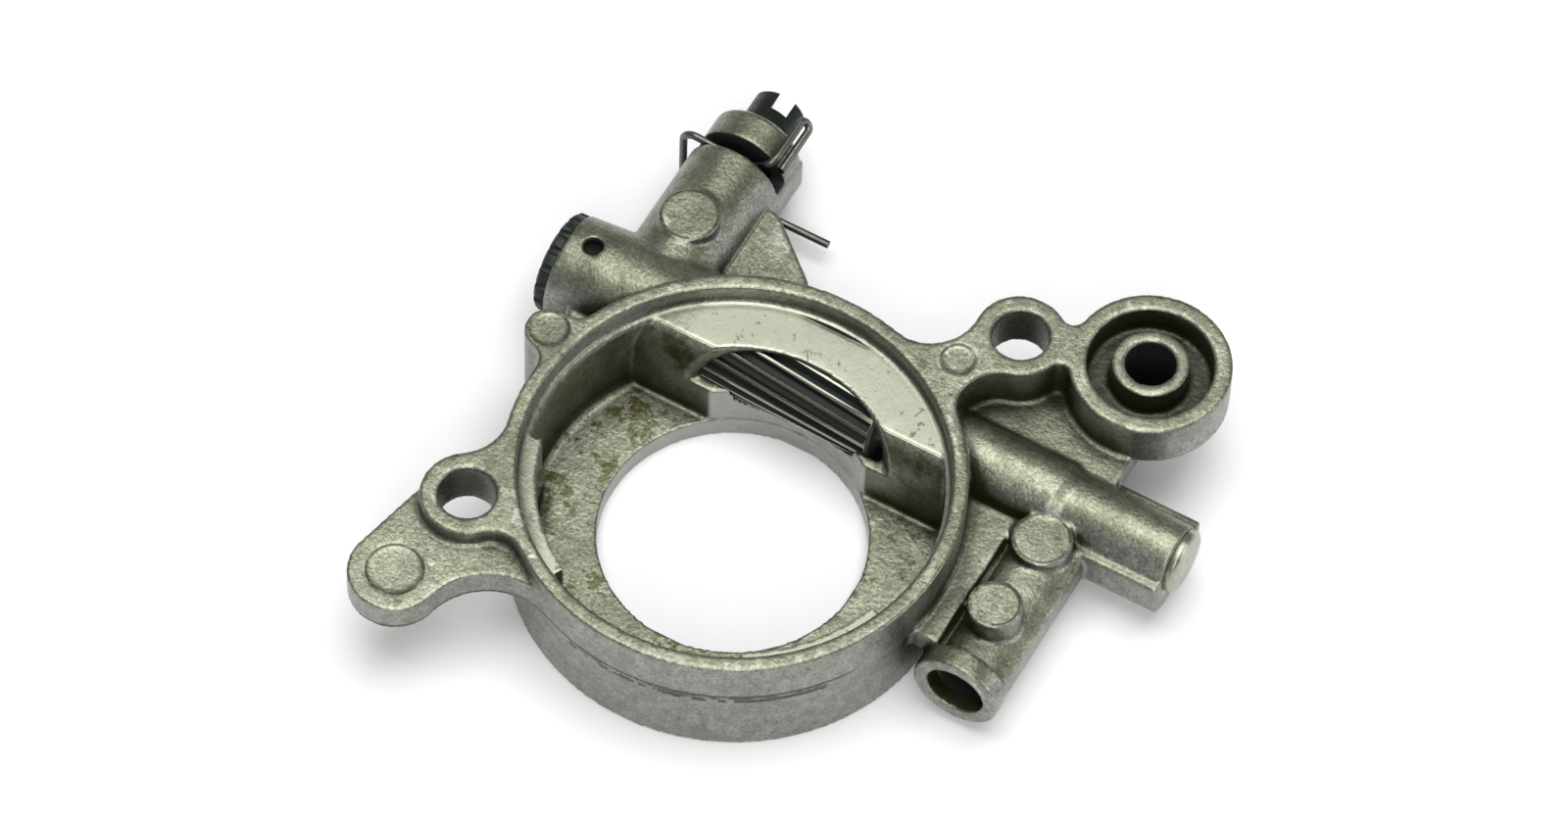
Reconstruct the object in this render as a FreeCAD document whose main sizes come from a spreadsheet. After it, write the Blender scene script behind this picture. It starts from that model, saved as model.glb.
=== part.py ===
import FreeCAD, Part
import math
import os

import Sketcher

# Chainsaw oil pump. Millimetres, +Z is the front of the casting, the origin is the crankshaft's axis
# on the back face, and X runs along the plunger barrel from its plugged end to the pump chamber.

SIZES = [
    # Cup round the crankshaft
    ("ring_radius", 22.5, "outer radius of the cup at its front face"),
    ("ring_foot_radius", 22.0, "outer radius of the cup at the back face"),
    ("ring_height", 14.3, "back face to front face"),
    ("parting_level", 9.4, "height of the die's parting line on the cup"),
    ("parting_step", 0.2, "how far the front half stands proud at the parting line"),
    ("seat_radius", 20.9, "radius of the turned seat for the cover"),
    ("seat_depth", 2.3, "depth of the cover seat below the front face"),
    ("cup_radius", 20.3, "inner radius of the cup"),
    ("floor_thickness", 2.4, "floor of the cup"),
    ("floor_corner", 1.0, "fillet between the floor and the wall"),
    ("crank_bore_radius", 13.2, "hole in the floor for the crankshaft"),
    ("wide_seat_radius", 18.75, "inner radius of the two wide stretches of the seat"),
    ("flat_gap", 0.3, "widest part of the gap between the turned flat on the barrel and the cup"),
    ("seat_gap_depth", 1.2, "depth of the gap behind that flat"),
    ("worm_radius", 15.5, "turned clearance for the worm"),
    ("worm_depth", 7.0, "depth of that clearance below the front face"),
    ("root_relief", 0.25, "how far the barrel's root stands back from the crankshaft's hole"),
    # Ears, arm and outlet boss on the front flange
    ("flange_level", 8.9, "underside of the ears, the arm and the outlet boss"),
    ("ear_radius", 4.6, "outer radius of the screw ears"),
    ("screw_hole_radius", 2.8, "clearance hole in each ear"),
    ("ear_right_x", 16.36, "right ear"),
    ("ear_right_y", 27.32, "right ear"),
    ("ear_left_x", -20.85, "left ear"),
    ("ear_left_y", -15.09, "left ear"),
    ("neck_width", 2.65, "round of the neck between the cup and the right ear"),
    ("neck_x", 12.5, "neck of the right ear"),
    ("neck_y", 21.5, "neck of the right ear"),
    ("neck_mark_y", 21.8, "ejector mark on the neck"),
    ("post_radius", 2.4, "small round post on the cup's wall"),
    ("post_x", -23.48, "post on the wall"),
    ("post_y", 5.05, "post on the wall"),
    ("post_foot_level", 4.0, "underside of the post"),
    ("arm_x", -23.1, "round end of the arm"),
    ("arm_y", -24.9, "round end of the arm"),
    ("arm_drop", 2.0, "how far the arm's face lies below the front face"),
    ("ejector_mark_depth", 0.15, "depth of the round ejector marks"),
    ("arm_mark_radius", 2.75, "ejector mark on the arm"),
    ("post_mark_radius", 1.95, "ejector mark on the post"),
    ("neck_mark_radius", 1.7, "ejector mark on the neck"),
    ("outlet_x", 28.8, "outlet boss"),
    ("outlet_y", 30.78, "outlet boss"),
    ("outlet_radius", 7.98, "outer radius of the outlet boss"),
    ("seal_groove_radius", 6.2, "outer radius of the seal groove"),
    ("seal_groove_depth", 3.2, "depth of the seal groove"),
    ("spigot_radius", 3.8, "outer radius of the outlet spigot"),
    ("spigot_bore_radius", 2.5, "bore of the outlet spigot"),
    ("outlet_foot_radius", 4.6, "round foot under the outlet boss"),
    ("outlet_foot_level", 4.2, "underside of the foot"),
    # Plunger barrel
    ("barrel_y", 16.2, "barrel axis, distance from the crankshaft"),
    ("barrel_drop", 6.65, "barrel axis, below the front face"),
    ("bore_y", 15.9, "axis of the plunger, distance from the crankshaft"),
    ("bore_drop", 7.0, "axis of the plunger, below the front face"),
    ("barrel_radius", 5.65, "outer radius of the barrel"),
    ("barrel_end_radius", 5.3, "outer radius of the barrel at its plugged end"),
    ("barrel_draft_end", -23.5, "where the barrel reaches its full radius, along X"),
    ("barrel_left", -27.7, "plugged end of the barrel"),
    ("barrel_right", 40.0, "chamber end of the barrel"),
    ("plunger_bore_radius", 4.2, "bore that the plunger runs in"),
    ("bore_shoulder", 9.6, "where the bore for the plunger ends, along X"),
    ("spring_bore_radius", 2.75, "bore round the return spring"),
    ("spring_bore_end", 20.0, "where the bore round the return spring ends, along X"),
    ("chamber_radius", 3.5, "outer radius of the barrel round the pump chamber"),
    ("flare_radius", 4.0, "outer radius of that barrel beside the cup"),
    ("flare_end", 27.0, "where it begins to taper, along X"),
    ("flare_taper", 1.2, "length of the taper"),
    ("chamber_start", 7.0, "where the thinner barrel begins inside the big one"),
    ("trough_start", 17.6, "where its square lower half begins"),
    ("trough_half_width", 4.63, "half width of the square lower half of the chamber end"),
    ("trough_top", 8.1, "top of the strip along the chamber end"),
    ("trough_bottom", 2.6, "underside of the chamber end"),
    ("trough_corner", 2.5, "rounding of the lower corners"),
    ("strip_start", 31.2, "where the strip along the chamber end begins"),
    # Webs
    ("web_thickness", 2.5, "plates between the cup and what stands beside it"),
    ("inlet_web_level", 9.2, "top of the plate beside the inlet block"),
    ("adjuster_web_level", 8.5, "top of the plate beside the adjuster boss"),
    ("wall_overlap", 0.9, "how deep the plates run into the wall of the cup"),
    # Inlet block
    ("inlet_x", 28.05, "inlet bore axis"),
    ("inlet_level", 6.1, "inlet bore axis, height above the back face"),
    ("inlet_reach", 6.85, "mouth of the inlet, below the crankshaft axis in Y"),
    ("inlet_radius", 4.5, "outer radius of the inlet mouth"),
    ("inlet_collar", 2.3, "length of the round collar at the mouth"),
    ("inlet_mouth_radius", 3.0, "wide bore at the inlet mouth"),
    ("inlet_mouth_depth", 2.1, "depth of that wide bore"),
    ("inlet_bore_radius", 2.55, "bore of the inlet"),
    ("inlet_bore_level", 5.75, "axis of that bore, height above the back face"),
    ("inlet_bore_end", 7.5, "where the inlet bore ends, along Y"),
    ("block_half_width", 4.15, "half width of the inlet block"),
    ("block_top", 7.2, "edges of the block's crowned face"),
    ("block_corner", 3.0, "rounding of the block's lower edges"),
    ("block_bottom", 2.0, "underside of the inlet block"),
    ("block_crown", 1.5, "rise of the block's face above its edges"),
    ("low_pad_radius", 3.05, "low round pad on the block"),
    ("low_pad_y", 10.55, "low pad"),
    ("low_pad_level", 9.7, "face of the low pad"),
    ("tall_pad_radius", 2.7, "tall round pad on the block"),
    ("tall_pad_y", 0.93, "tall pad"),
    ("tall_pad_level", 11.3, "face of the tall pad"),
    ("passage_x", 28.4, "oil passage, along X"),
    ("passage_radius", 1.25, "oil passage drilled through the chamber"),
    ("passage_level", 7.0, "oil passage, height above the back face"),
    ("duct_radius", 2.4, "duct round the oil passage"),
    # Adjuster boss
    ("adjuster_x", -18.75, "adjuster axis"),
    ("adjuster_radius", 4.94, "outer radius of the adjuster boss"),
    ("collar_radius", 4.75, "radius of the boss beyond the slot for the lock spring"),
    ("collar_chamfer", 0.5, "chamfer at the end of the boss"),
    ("adjuster_end", 38.6, "outer face of the adjuster boss, along Y"),
    ("adjuster_bottom", 2.0, "underside of the adjuster boss"),
    ("adjuster_pad_radius", 3.07, "round pad on the adjuster boss"),
    ("adjuster_pad_y", 24.3, "pad on the adjuster boss"),
    ("adjuster_pad_rise", 0.3, "how far the pad stands above the boss"),
    ("wire_slot_y", 34.15, "middle of the slot for the lock spring"),
    ("wire_slot_width", 1.7, "width of that slot"),
    ("wire_slot_floor", 8.05, "floor of the slot, height above the back face"),
    # Plunger
    ("running_clearance", 0.04, "between a turning piece and its bore, on the radius"),
    ("cam_end", -16.95, "tip of the plunger's cam face"),
    ("cam_rise", 1.6, "slope of the cam face across the plunger"),
    ("stroke", 1.4, "travel of the plunger"),
    ("teeth_start", -12.4, "where the teeth begin"),
    ("teeth_end", 7.7, "where the teeth end"),
    ("tooth_count", 18, "teeth round the plunger"),
    ("tooth_depth", 0.95, "depth of the teeth"),
    ("tooth_lean", 5.5, "lean of the teeth against the axis, in degrees"),
    ("tooth_tip_share", 0.2, "width of a tooth's tip, as a share of the pitch"),
    ("tooth_root_share", 0.4, "width of the gap at its floor, as a share of the pitch"),
    ("plunger_shoulder", 8.1, "end of the plunger's full radius"),
    ("neck_end", 12.0, "end of the neck that carries the thrust washer"),
    ("plunger_neck_radius", 2.4, "radius of that neck"),
    ("piston_radius", 1.85, "radius of the piston"),
    ("piston_end", 33.6, "end of the piston"),
    ("flat_start", 26.6, "where the valve flat on the piston begins"),
    ("flat_offset", 0.5, "distance of the valve flat from the axis"),
    ("edge_chamfer", 0.3, "broken edges of the turned pieces"),
    # Spring and washers
    ("washer_thickness", 0.5, "both washers"),
    ("washer_radius", 2.6, "outer radius of both washers"),
    ("washer_clearance", 0.15, "between a washer and the piston, on the radius"),
    ("spring_radius", 2.27, "mean radius of the return spring"),
    ("spring_wire", 0.3, "radius of the spring's wire"),
    ("spring_turns", 4.0, "turns of the return spring"),
    # Plugs and pin
    ("plug_flange_radius", 5.2, "radius of the end plug's flange"),
    ("plug_flange_thickness", 1.2, "thickness of that flange"),
    ("plug_length", 4.8, "how deep the end plug reaches into the bore"),
    ("plug_fit", 0.03, "between a fitted plug or pin and its hole, on the radius"),
    ("plug_notch_count", 16, "notches round the flange"),
    ("plug_notch_radius", 0.45, "radius of each notch"),
    ("pin_x", -24.95, "cross pin of the end plug"),
    ("pin_radius", 0.95, "radius of the cross pin"),
    ("pin_half_length", 4.85, "half length of the cross pin"),
    ("chamber_plug_radius", 2.9, "radius of the seat for the chamber plug"),
    ("chamber_plug_depth", 2.4, "depth of that seat"),
    ("chamber_plug_gap", 0.2, "between the chamber plug and the floor of its seat"),
    ("chamber_plug_head", 3.25, "radius of the chamber plug's head"),
    ("chamber_plug_rise", 0.9, "how far the head stands out of the barrel"),
    # Adjuster screw
    ("screw_radius", 3.0, "radius of the adjuster's body"),
    ("screw_gap", 0.4, "between the adjuster's body and the bore of the plunger"),
    ("screw_groove_radius", 1.7, "radius in the groove under the lock spring"),
    ("screw_groove_margin", 0.1, "how far that groove reaches past the boss's slot on each side"),
    ("screw_head_radius", 2.8, "radius of the adjuster's head"),
    ("screw_head_end", 42.9, "outer end of the head, along Y"),
    ("screw_step_depth", 0.6, "where the head begins, below the end of the boss"),
    ("screw_slot_width", 1.8, "screwdriver slot"),
    ("screw_slot_depth", 2.1, "screwdriver slot"),
    ("screw_slot_turn", 16.0, "turn of the slot from upright, in degrees"),
    ("seal_start", 24.0, "where the seal groove of the adjuster begins, along Y"),
    ("seal_width", 1.1, "width of the seal groove"),
    ("seal_groove_floor", 2.2, "radius at the floor of the seal groove"),
    ("seal_gap", 0.01, "between the seal and what it touches"),
    ("nose_radius", 1.2, "radius of the adjuster's nose"),
    ("nose_offset", 0.5, "how far the nose lies off the adjuster's axis"),
    ("nose_end", 16.5, "tip of the nose, along Y"),
    # Lock spring
    ("lock_wire", 0.4, "radius of the lock spring's wire"),
    ("lock_clearance", 0.1, "between the lock spring and the boss"),
    ("lock_bend", 1.4, "bend radius of the lock spring"),
    ("lock_left", -25.0, "outer side of the lock spring's loop, along X"),
    ("lock_tail", -8.4, "free end of the lock spring, along X"),
    ("lock_low", 2.45, "lower leg of the lock spring"),
    ("lock_high", 10.35, "upper corner of the lock spring's loop"),
    ("lock_pass", 9.85, "upper leg of the lock spring inside the boss's slot"),
    ("lock_rise_x", -17.3, "where that leg begins to rise to the hook, along X"),
    ("hook_angle", 47.0, "outgoing leg of the hook, in degrees round the boss"),
    ("hook_return_angle", 33.5, "returning leg of the hook, in degrees round the boss"),
    ("lock_hook_end", 40.5, "outer end of the lock spring's hook, along Y"),
    ("hook_stop", 0.4, "how far the hook's end stays from the middle of the slot"),
    ("hook_turn_share", 0.45, "bend radius at the hook's tip, as a share of the width between its legs"),
]

# Sizes that follow from others
DERIVED = [
    ("barrel_level", "=ring_height - barrel_drop", "barrel axis, height above the back face"),
    ("bore_level", "=ring_height - bore_drop", "axis of the plunger, height above the back face"),
    ("seat_level", "=ring_height - seat_depth", "face of the cover seat, height above the back face"),
    ("worm_floor", "=ring_height - worm_depth", "floor of the worm's clearance"),
    ("screw_inner_end", "=bore_y + plunger_bore_radius + screw_gap", "inner end of the adjuster's body"),
]

X_AXIS = FreeCAD.Vector(1, 0, 0)
Y_AXIS = FreeCAD.Vector(0, 1, 0)
Z_AXIS = FreeCAD.Vector(0, 0, 1)

doc = FreeCAD.newDocument("chainsaw_oil_pump")
sheet = doc.addObject("Spreadsheet::Sheet", "Sizes")
for row, (alias, number, note) in enumerate(SIZES + DERIVED, start=1):
    sheet.set("A%d" % row, alias)
    sheet.set("B%d" % row, str(number))
    sheet.set("C%d" % row, note)
    sheet.setAlias("B%d" % row, alias)
doc.recompute()


def size(alias):
    """Value of one driving dimension."""
    return float(sheet.get(alias))


# Helpers for sketches

def point(x, y, z=0.0):
    return FreeCAD.Vector(x, y, z)


def new_body(label):
    body = doc.addObject("PartDesign::Body", label)
    body.Label = label
    return body


def sketch_on(body, name, plane, shift=("0", "0", "0"), turn=0.0):
    """Sketch on one of the body's origin planes, shifted by expressions of the sheet."""
    sketch = body.newObject("Sketcher::SketchObject", body.Name + "_" + name)
    datum = next(f for f in body.Origin.OriginFeatures if f.Role == plane)
    sketch.AttachmentSupport = [(datum, "")]
    sketch.MapMode = "FlatFace"
    sketch.AttachmentOffset = FreeCAD.Placement(point(0, 0), FreeCAD.Rotation(Z_AXIS, turn))
    for axis, text in zip("xyz", shift):
        sketch.setExpression("AttachmentOffset.Base." + axis, text)
    return sketch


def add_circle(sketch, radius):
    """Circle round the sketch's origin whose radius follows the sheet."""
    index = sketch.addGeometry(Part.Circle(point(0, 0), Z_AXIS, 1.0), False)
    sketch.addConstraint(Sketcher.Constraint("Coincident", index, 3, -1, 1))
    limit = sketch.addConstraint(Sketcher.Constraint("Radius", index, 1.0))
    sketch.setExpression("Constraints[%d]" % limit, radius)


def add_placed_circle(sketch, radius, allowance, x, y):
    """Circle at named coordinates, larger than its named radius by the allowance."""
    circle = Part.Circle(point(size(x), size(y)), Z_AXIS, size(radius) + allowance)
    sketch.addGeometry(circle, False)


def add_polygon(sketch, corners):
    for start, end in zip(corners, corners[1:] + corners[:1]):
        sketch.addGeometry(Part.LineSegment(point(*start), point(*end)), False)


def add_arc(sketch, centre, radius, start, end):
    """Arc counterclockwise from one point on it to another."""
    angles = [math.atan2(p[1] - centre[1], p[0] - centre[0]) for p in (start, end)]
    circle = Part.Circle(point(*centre), Z_AXIS, radius)
    sketch.addGeometry(Part.ArcOfCircle(circle, angles[0], angles[1]), False)


def add_line(sketch, start, end):
    sketch.addGeometry(Part.LineSegment(point(*start), point(*end)), False)


def polar(radius, degrees):
    return (radius * math.cos(math.radians(degrees)), radius * math.sin(math.radians(degrees)))


def add_blended_outline(sketch, discs, blends):
    """Outline counterclockwise round discs (x, y, radius). blends[i] joins disc i to the next one:
    the radius of a concave fillet, or 0 for a straight tangent."""
    leaving = [None] * len(discs)
    entering = [None] * len(discs)
    for i, (x1, y1, r1) in enumerate(discs):
        following = (i + 1) % len(discs)
        x2, y2, r2 = discs[following]
        apart = math.hypot(x2 - x1, y2 - y1)
        along = ((x2 - x1) / apart, (y2 - y1) / apart)
        right = (along[1], -along[0])
        fillet = blends[i]
        if fillet == 0:
            sine = (r1 - r2) / apart
            cosine = math.sqrt(1 - sine ** 2)
            normal = [along[k] * sine + right[k] * cosine for k in (0, 1)]
            leaving[i] = (x1 + r1 * normal[0], y1 + r1 * normal[1])
            entering[following] = (x2 + r2 * normal[0], y2 + r2 * normal[1])
            add_line(sketch, leaving[i], entering[following])
            continue
        reach = ((r1 + fillet) ** 2 - (r2 + fillet) ** 2 + apart ** 2) / (2 * apart)
        aside = math.sqrt((r1 + fillet) ** 2 - reach ** 2)
        middle = (x1 + along[0] * reach + right[0] * aside, y1 + along[1] * reach + right[1] * aside)
        share = r1 / (r1 + fillet)
        leaving[i] = (x1 + (middle[0] - x1) * share, y1 + (middle[1] - y1) * share)
        share = r2 / (r2 + fillet)
        entering[following] = (x2 + (middle[0] - x2) * share, y2 + (middle[1] - y2) * share)
        add_arc(sketch, middle, fillet, entering[following], leaving[i])
    for i, (x, y, radius) in enumerate(discs):
        add_arc(sketch, (x, y), radius, entering[i], leaving[i])


def add_trough(sketch, half_width, top, bottom, corner, crown=0.0):
    """Flat or crowned top, upright sides and two rounded lower corners, about the vertical axis."""
    inner = half_width - corner
    low = bottom + corner
    if crown:
        rise = Part.Arc(point(-half_width, top), point(0, top + crown), point(half_width, top))
        sketch.addGeometry(rise, False)
    else:
        add_line(sketch, (-half_width, top), (half_width, top))
    add_line(sketch, (-half_width, top), (-half_width, low))
    add_line(sketch, (half_width, top), (half_width, low))
    add_line(sketch, (-inner, bottom), (inner, bottom))
    add_arc(sketch, (-inner, low), corner, (-half_width, low), (-inner, bottom))
    add_arc(sketch, (inner, low), corner, (inner, bottom), (half_width, low))


def add_wall_sector(sketch, inner, outer, start, end):
    """Ring sector between two angles in degrees."""
    add_arc(sketch, (0, 0), outer, polar(outer, start), polar(outer, end))
    add_arc(sketch, (0, 0), inner, polar(inner, start), polar(inner, end))
    add_line(sketch, polar(inner, start), polar(outer, start))
    add_line(sketch, polar(inner, end), polar(outer, end))


def add_web(sketch, corners):
    """Plate that grows out of the cup's wall: corners run clockwise, and the plate closes inside
    the wall along an arc."""
    core = size("cup_radius") + size("wall_overlap")
    first = math.degrees(math.atan2(corners[0][1], corners[0][0]))
    last = math.degrees(math.atan2(corners[-1][1], corners[-1][0]))
    chain = [polar(core, first)] + corners + [polar(core, last)]
    for start, end in zip(chain, chain[1:]):
        add_line(sketch, start, end)
    add_arc(sketch, (0, 0), core, polar(core, last), polar(core, first))


# Helpers for features

def pad(body, sketch, length, backwards=False):
    feature = body.newObject("PartDesign::Pad", sketch.Name + "_pad")
    feature.Profile = sketch
    feature.setExpression("Length", length)
    feature.Reversed = backwards
    doc.recompute()
    return feature


def pocket(body, sketch, length, forwards=False):
    """Cut against the sketch's normal, or along it; the volume shows that it did cut."""
    before = body.Shape.Volume
    feature = body.newObject("PartDesign::Pocket", sketch.Name + "_cut")
    feature.Profile = sketch
    feature.setExpression("Length", length)
    feature.Reversed = forwards
    doc.recompute()
    if body.Shape.Volume > before - 1e-6:
        raise RuntimeError(sketch.Name + " cuts nothing")
    return feature


def revolve(body, sketch, axis):
    feature = body.newObject("PartDesign::Revolution", sketch.Name + "_turned")
    feature.Profile = sketch
    feature.ReferenceAxis = (sketch, [axis])
    feature.Angle = 360.0
    doc.recompute()
    return feature


def polar_pattern(body, original, role, count):
    feature = body.newObject("PartDesign::PolarPattern", original.Name + "_pattern")
    feature.Originals = [original]
    feature.Axis = (next(f for f in body.Origin.OriginFeatures if f.Role == role), [""])
    feature.Angle = 360.0
    feature.setExpression("Occurrences", count)
    body.Tip = feature
    doc.recompute()
    return feature


def disc_pad(body, name, radius, x, y, level, length):
    sketch = sketch_on(body, name, "XY_Plane", (x, y, level))
    add_circle(sketch, radius)
    return pad(body, sketch, length)


def disc_cut(body, name, radius, x, y, level, length):
    sketch = sketch_on(body, name, "XY_Plane", (x, y, level))
    add_circle(sketch, radius)
    return pocket(body, sketch, length)


# Housing

# Concave fillets between the discs of the flange's outline, in the order of flange_discs
FLANGE_FILLETS = [3.5, 4.0, 1.0, 1.2, 5.0, 4.5, 2.0, 2.0, 5.0, 3.0]
ARM_FILLETS = [5.0, 0, 7.0]
# Where the wide stretches of the cover seat begin and end, in degrees
WIDE_SEAT_ANGLES = [(-165.0, -119.0), (-59.0, -17.0)]
# Corners of the plates between the cup and what stands beside it
OUTLET_WEB_CORNER = (31.2, 24.8)
ADJUSTER_WEB_CORNERS = [(-14.31, 31.6), (-12.31, 31.1), (-6.3, 25.9), (-3.6, 22.5)]


def flange_discs():
    ring = (0.0, 0.0, size("ring_radius"))
    neck = (size("neck_x"), size("neck_y"), size("neck_width"))
    ear_right = (size("ear_right_x"), size("ear_right_y"), size("ear_radius"))
    outlet = (size("outlet_x"), size("outlet_y"), size("outlet_radius"))
    post = (size("post_x"), size("post_y"), size("post_radius"))
    ear_left = (size("ear_left_x"), size("ear_left_y"), size("ear_radius"))
    return [ring, neck, ear_right, outlet, ear_right, neck, ring, post, ring, ear_left]


def make_cup(body):
    """Turned section of the cup: foot, drafted wall, parting step, cover seat and floor."""
    foot = size("ring_foot_radius")
    rim = size("ring_radius")
    top = size("ring_height")
    parting = size("parting_level")
    seat = size("seat_radius")
    ledge = size("seat_level")
    inner = size("cup_radius")
    floor = size("floor_thickness")
    corner = size("floor_corner")
    bore = size("crank_bore_radius")
    section = [
        (inner - corner, floor), (bore, floor), (bore, 0.0), (foot, 0.0),
        (rim - size("parting_step"), parting), (rim, parting), (rim, top), (seat, top),
        (seat, ledge), (inner, ledge), (inner, floor + corner),
    ]
    sketch = sketch_on(body, "cup_section", "XZ_Plane")
    for start, end in zip(section, section[1:]):
        add_line(sketch, start, end)
    add_arc(sketch, (inner - corner, floor + corner), corner, section[0], section[-1])
    revolve(body, sketch, "V_Axis")


def make_barrel_in_cup(body):
    """Round barrel across the cup, drafted at its plugged end, filled down to the floor, and cut off
    at the cup's outside on the chamber side, where the barrel goes on thinner."""
    radius = size("barrel_radius")
    rim = size("ring_radius")
    left = size("barrel_left")
    sketch = sketch_on(body, "barrel", "XZ_Plane", ("0", "Sizes.barrel_level", "-Sizes.barrel_y"))
    add_polygon(sketch, [(left, 0), (left, size("barrel_end_radius")), (size("barrel_draft_end"), radius),
                         (rim, radius), (rim, 0)])
    revolve(body, sketch, "H_Axis")
    clear = rim + radius + size("barrel_y")
    sketch = sketch_on(body, "barrel_end", "XY_Plane", ("0", "0", "Sizes.ring_height"))
    add_arc(sketch, (0, 0), rim, (rim, 0), (0, rim))
    add_line(sketch, (rim, 0), (clear, 0))
    add_line(sketch, (clear, 0), (clear, clear))
    add_line(sketch, (clear, clear), (0, clear))
    add_line(sketch, (0, clear), (0, rim))
    pocket(body, sketch, "Sizes.ring_height")
    core = size("cup_radius") + size("wall_overlap")
    near = size("barrel_y") - radius
    half = math.sqrt(core ** 2 - near ** 2)
    sketch = sketch_on(body, "barrel_root", "XY_Plane", ("0", "0", "Sizes.floor_thickness / 2"))
    add_line(sketch, (-half, near), (half, near))
    add_arc(sketch, (0, 0), core, (half, near), (-half, near))
    pad(body, sketch, "Sizes.barrel_level - Sizes.floor_thickness / 2")


def make_flange(body):
    """Front flange with the ears and the outlet boss, and the arm a step lower."""
    sketch = sketch_on(body, "flange", "XY_Plane", ("0", "0", "Sizes.flange_level"))
    add_blended_outline(sketch, flange_discs(), FLANGE_FILLETS)
    add_circle(sketch, "Sizes.cup_radius + Sizes.wall_overlap")
    pad(body, sketch, "Sizes.ring_height - Sizes.flange_level")
    disc_pad(body, "post", "Sizes.post_radius", "Sizes.post_x", "Sizes.post_y",
             "Sizes.post_foot_level", "Sizes.ring_height - Sizes.post_foot_level")
    ring, ear_left = flange_discs()[0], flange_discs()[-1]
    arm = (size("arm_x"), size("arm_y"), size("ear_radius"))
    sketch = sketch_on(body, "arm", "XY_Plane", ("0", "0", "Sizes.flange_level"))
    add_blended_outline(sketch, [ring, ear_left, arm], ARM_FILLETS)
    add_circle(sketch, "Sizes.cup_radius + Sizes.wall_overlap")
    pad(body, sketch, "Sizes.ring_height - Sizes.arm_drop - Sizes.flange_level")


def make_chamber_end(body):
    """Thin round barrel round the pump chamber, a little wider beside the cup, on its square half."""
    start = size("chamber_start")
    flare = size("flare_radius")
    taper = size("flare_end")
    radius = size("chamber_radius")
    end = size("barrel_right")
    sketch = sketch_on(body, "chamber", "XZ_Plane", ("0", "Sizes.barrel_level", "-Sizes.barrel_y"))
    add_polygon(sketch, [(start, 0), (start, flare), (taper, flare), (taper + size("flare_taper"), radius),
                         (end, radius), (end, 0)])
    revolve(body, sketch, "H_Axis")
    sketch = sketch_on(body, "trough", "YZ_Plane", ("Sizes.barrel_y", "0", "Sizes.trough_start"))
    add_trough(sketch, size("trough_half_width"), size("trough_top"), size("trough_bottom"),
               size("trough_corner"))
    pad(body, sketch, "Sizes.barrel_right - Sizes.trough_start")


def make_inlet_block(body):
    """Block with the inlet bore, its round mouth, and two round pads."""
    mouth = "Sizes.inlet_reach - Sizes.inlet_collar / 3"
    sketch = sketch_on(body, "inlet_block", "XZ_Plane", ("Sizes.inlet_x", "0", mouth))
    add_trough(sketch, size("block_half_width"), size("block_top"), size("block_bottom"),
               size("block_corner"), size("block_crown"))
    pad(body, sketch, mouth + " + Sizes.barrel_y", backwards=True)
    sketch = sketch_on(body, "inlet_mouth", "XZ_Plane",
                       ("Sizes.inlet_x", "Sizes.inlet_level", "Sizes.inlet_reach"))
    add_circle(sketch, "Sizes.inlet_radius")
    pad(body, sketch, "Sizes.inlet_collar", backwards=True)
    disc_pad(body, "low_pad", "Sizes.low_pad_radius", "Sizes.inlet_x", "Sizes.low_pad_y",
             "Sizes.inlet_level", "Sizes.low_pad_level - Sizes.inlet_level")
    disc_pad(body, "tall_pad", "Sizes.tall_pad_radius", "Sizes.inlet_x", "Sizes.tall_pad_y",
             "Sizes.inlet_level", "Sizes.tall_pad_level - Sizes.inlet_level")


def make_webs(body):
    """Plates that tie the inlet block, the outlet boss and the adjuster boss to the cup."""
    barrel = size("barrel_y")
    strip = size("strip_start")
    ear = (size("ear_right_x"), size("ear_right_y"))
    outlet = (size("outlet_x"), size("outlet_y"))
    post = (size("post_x"), size("post_y"))
    block_side = size("inlet_x") - size("block_half_width") + size("wall_overlap")
    collar = size("inlet_collar") - size("inlet_reach")
    beside_barrel = barrel - size("trough_half_width")
    inside_boss = (size("adjuster_x") + size("collar_radius"), barrel + size("chamber_radius"))
    for name, top, corners in (
        ("inlet_web", "Sizes.inlet_web_level", [
            (size("trough_start"), beside_barrel), (block_side, beside_barrel), (block_side, collar),
            (block_side - size("inlet_collar"), collar)]),
        ("outlet_web", "Sizes.parting_level", [
            ear, outlet, OUTLET_WEB_CORNER, (strip, barrel), (size("trough_start"), barrel)]),
        ("adjuster_web", "Sizes.adjuster_web_level", [inside_boss] + ADJUSTER_WEB_CORNERS),
    ):
        sketch = sketch_on(body, name, "XY_Plane", ("0", "0", top + " - Sizes.web_thickness"))
        add_web(sketch, corners)
        pad(body, sketch, "Sizes.web_thickness")
    sketch = sketch_on(body, "barrel_web", "XY_Plane", ("0", "0", "Sizes.post_foot_level"))
    add_web(sketch, [post, (post[0] - size("post_radius") / 2, beside_barrel),
                     (size("adjuster_x"), beside_barrel)])
    pad(body, sketch, "Sizes.parting_level - Sizes.post_foot_level")


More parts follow.
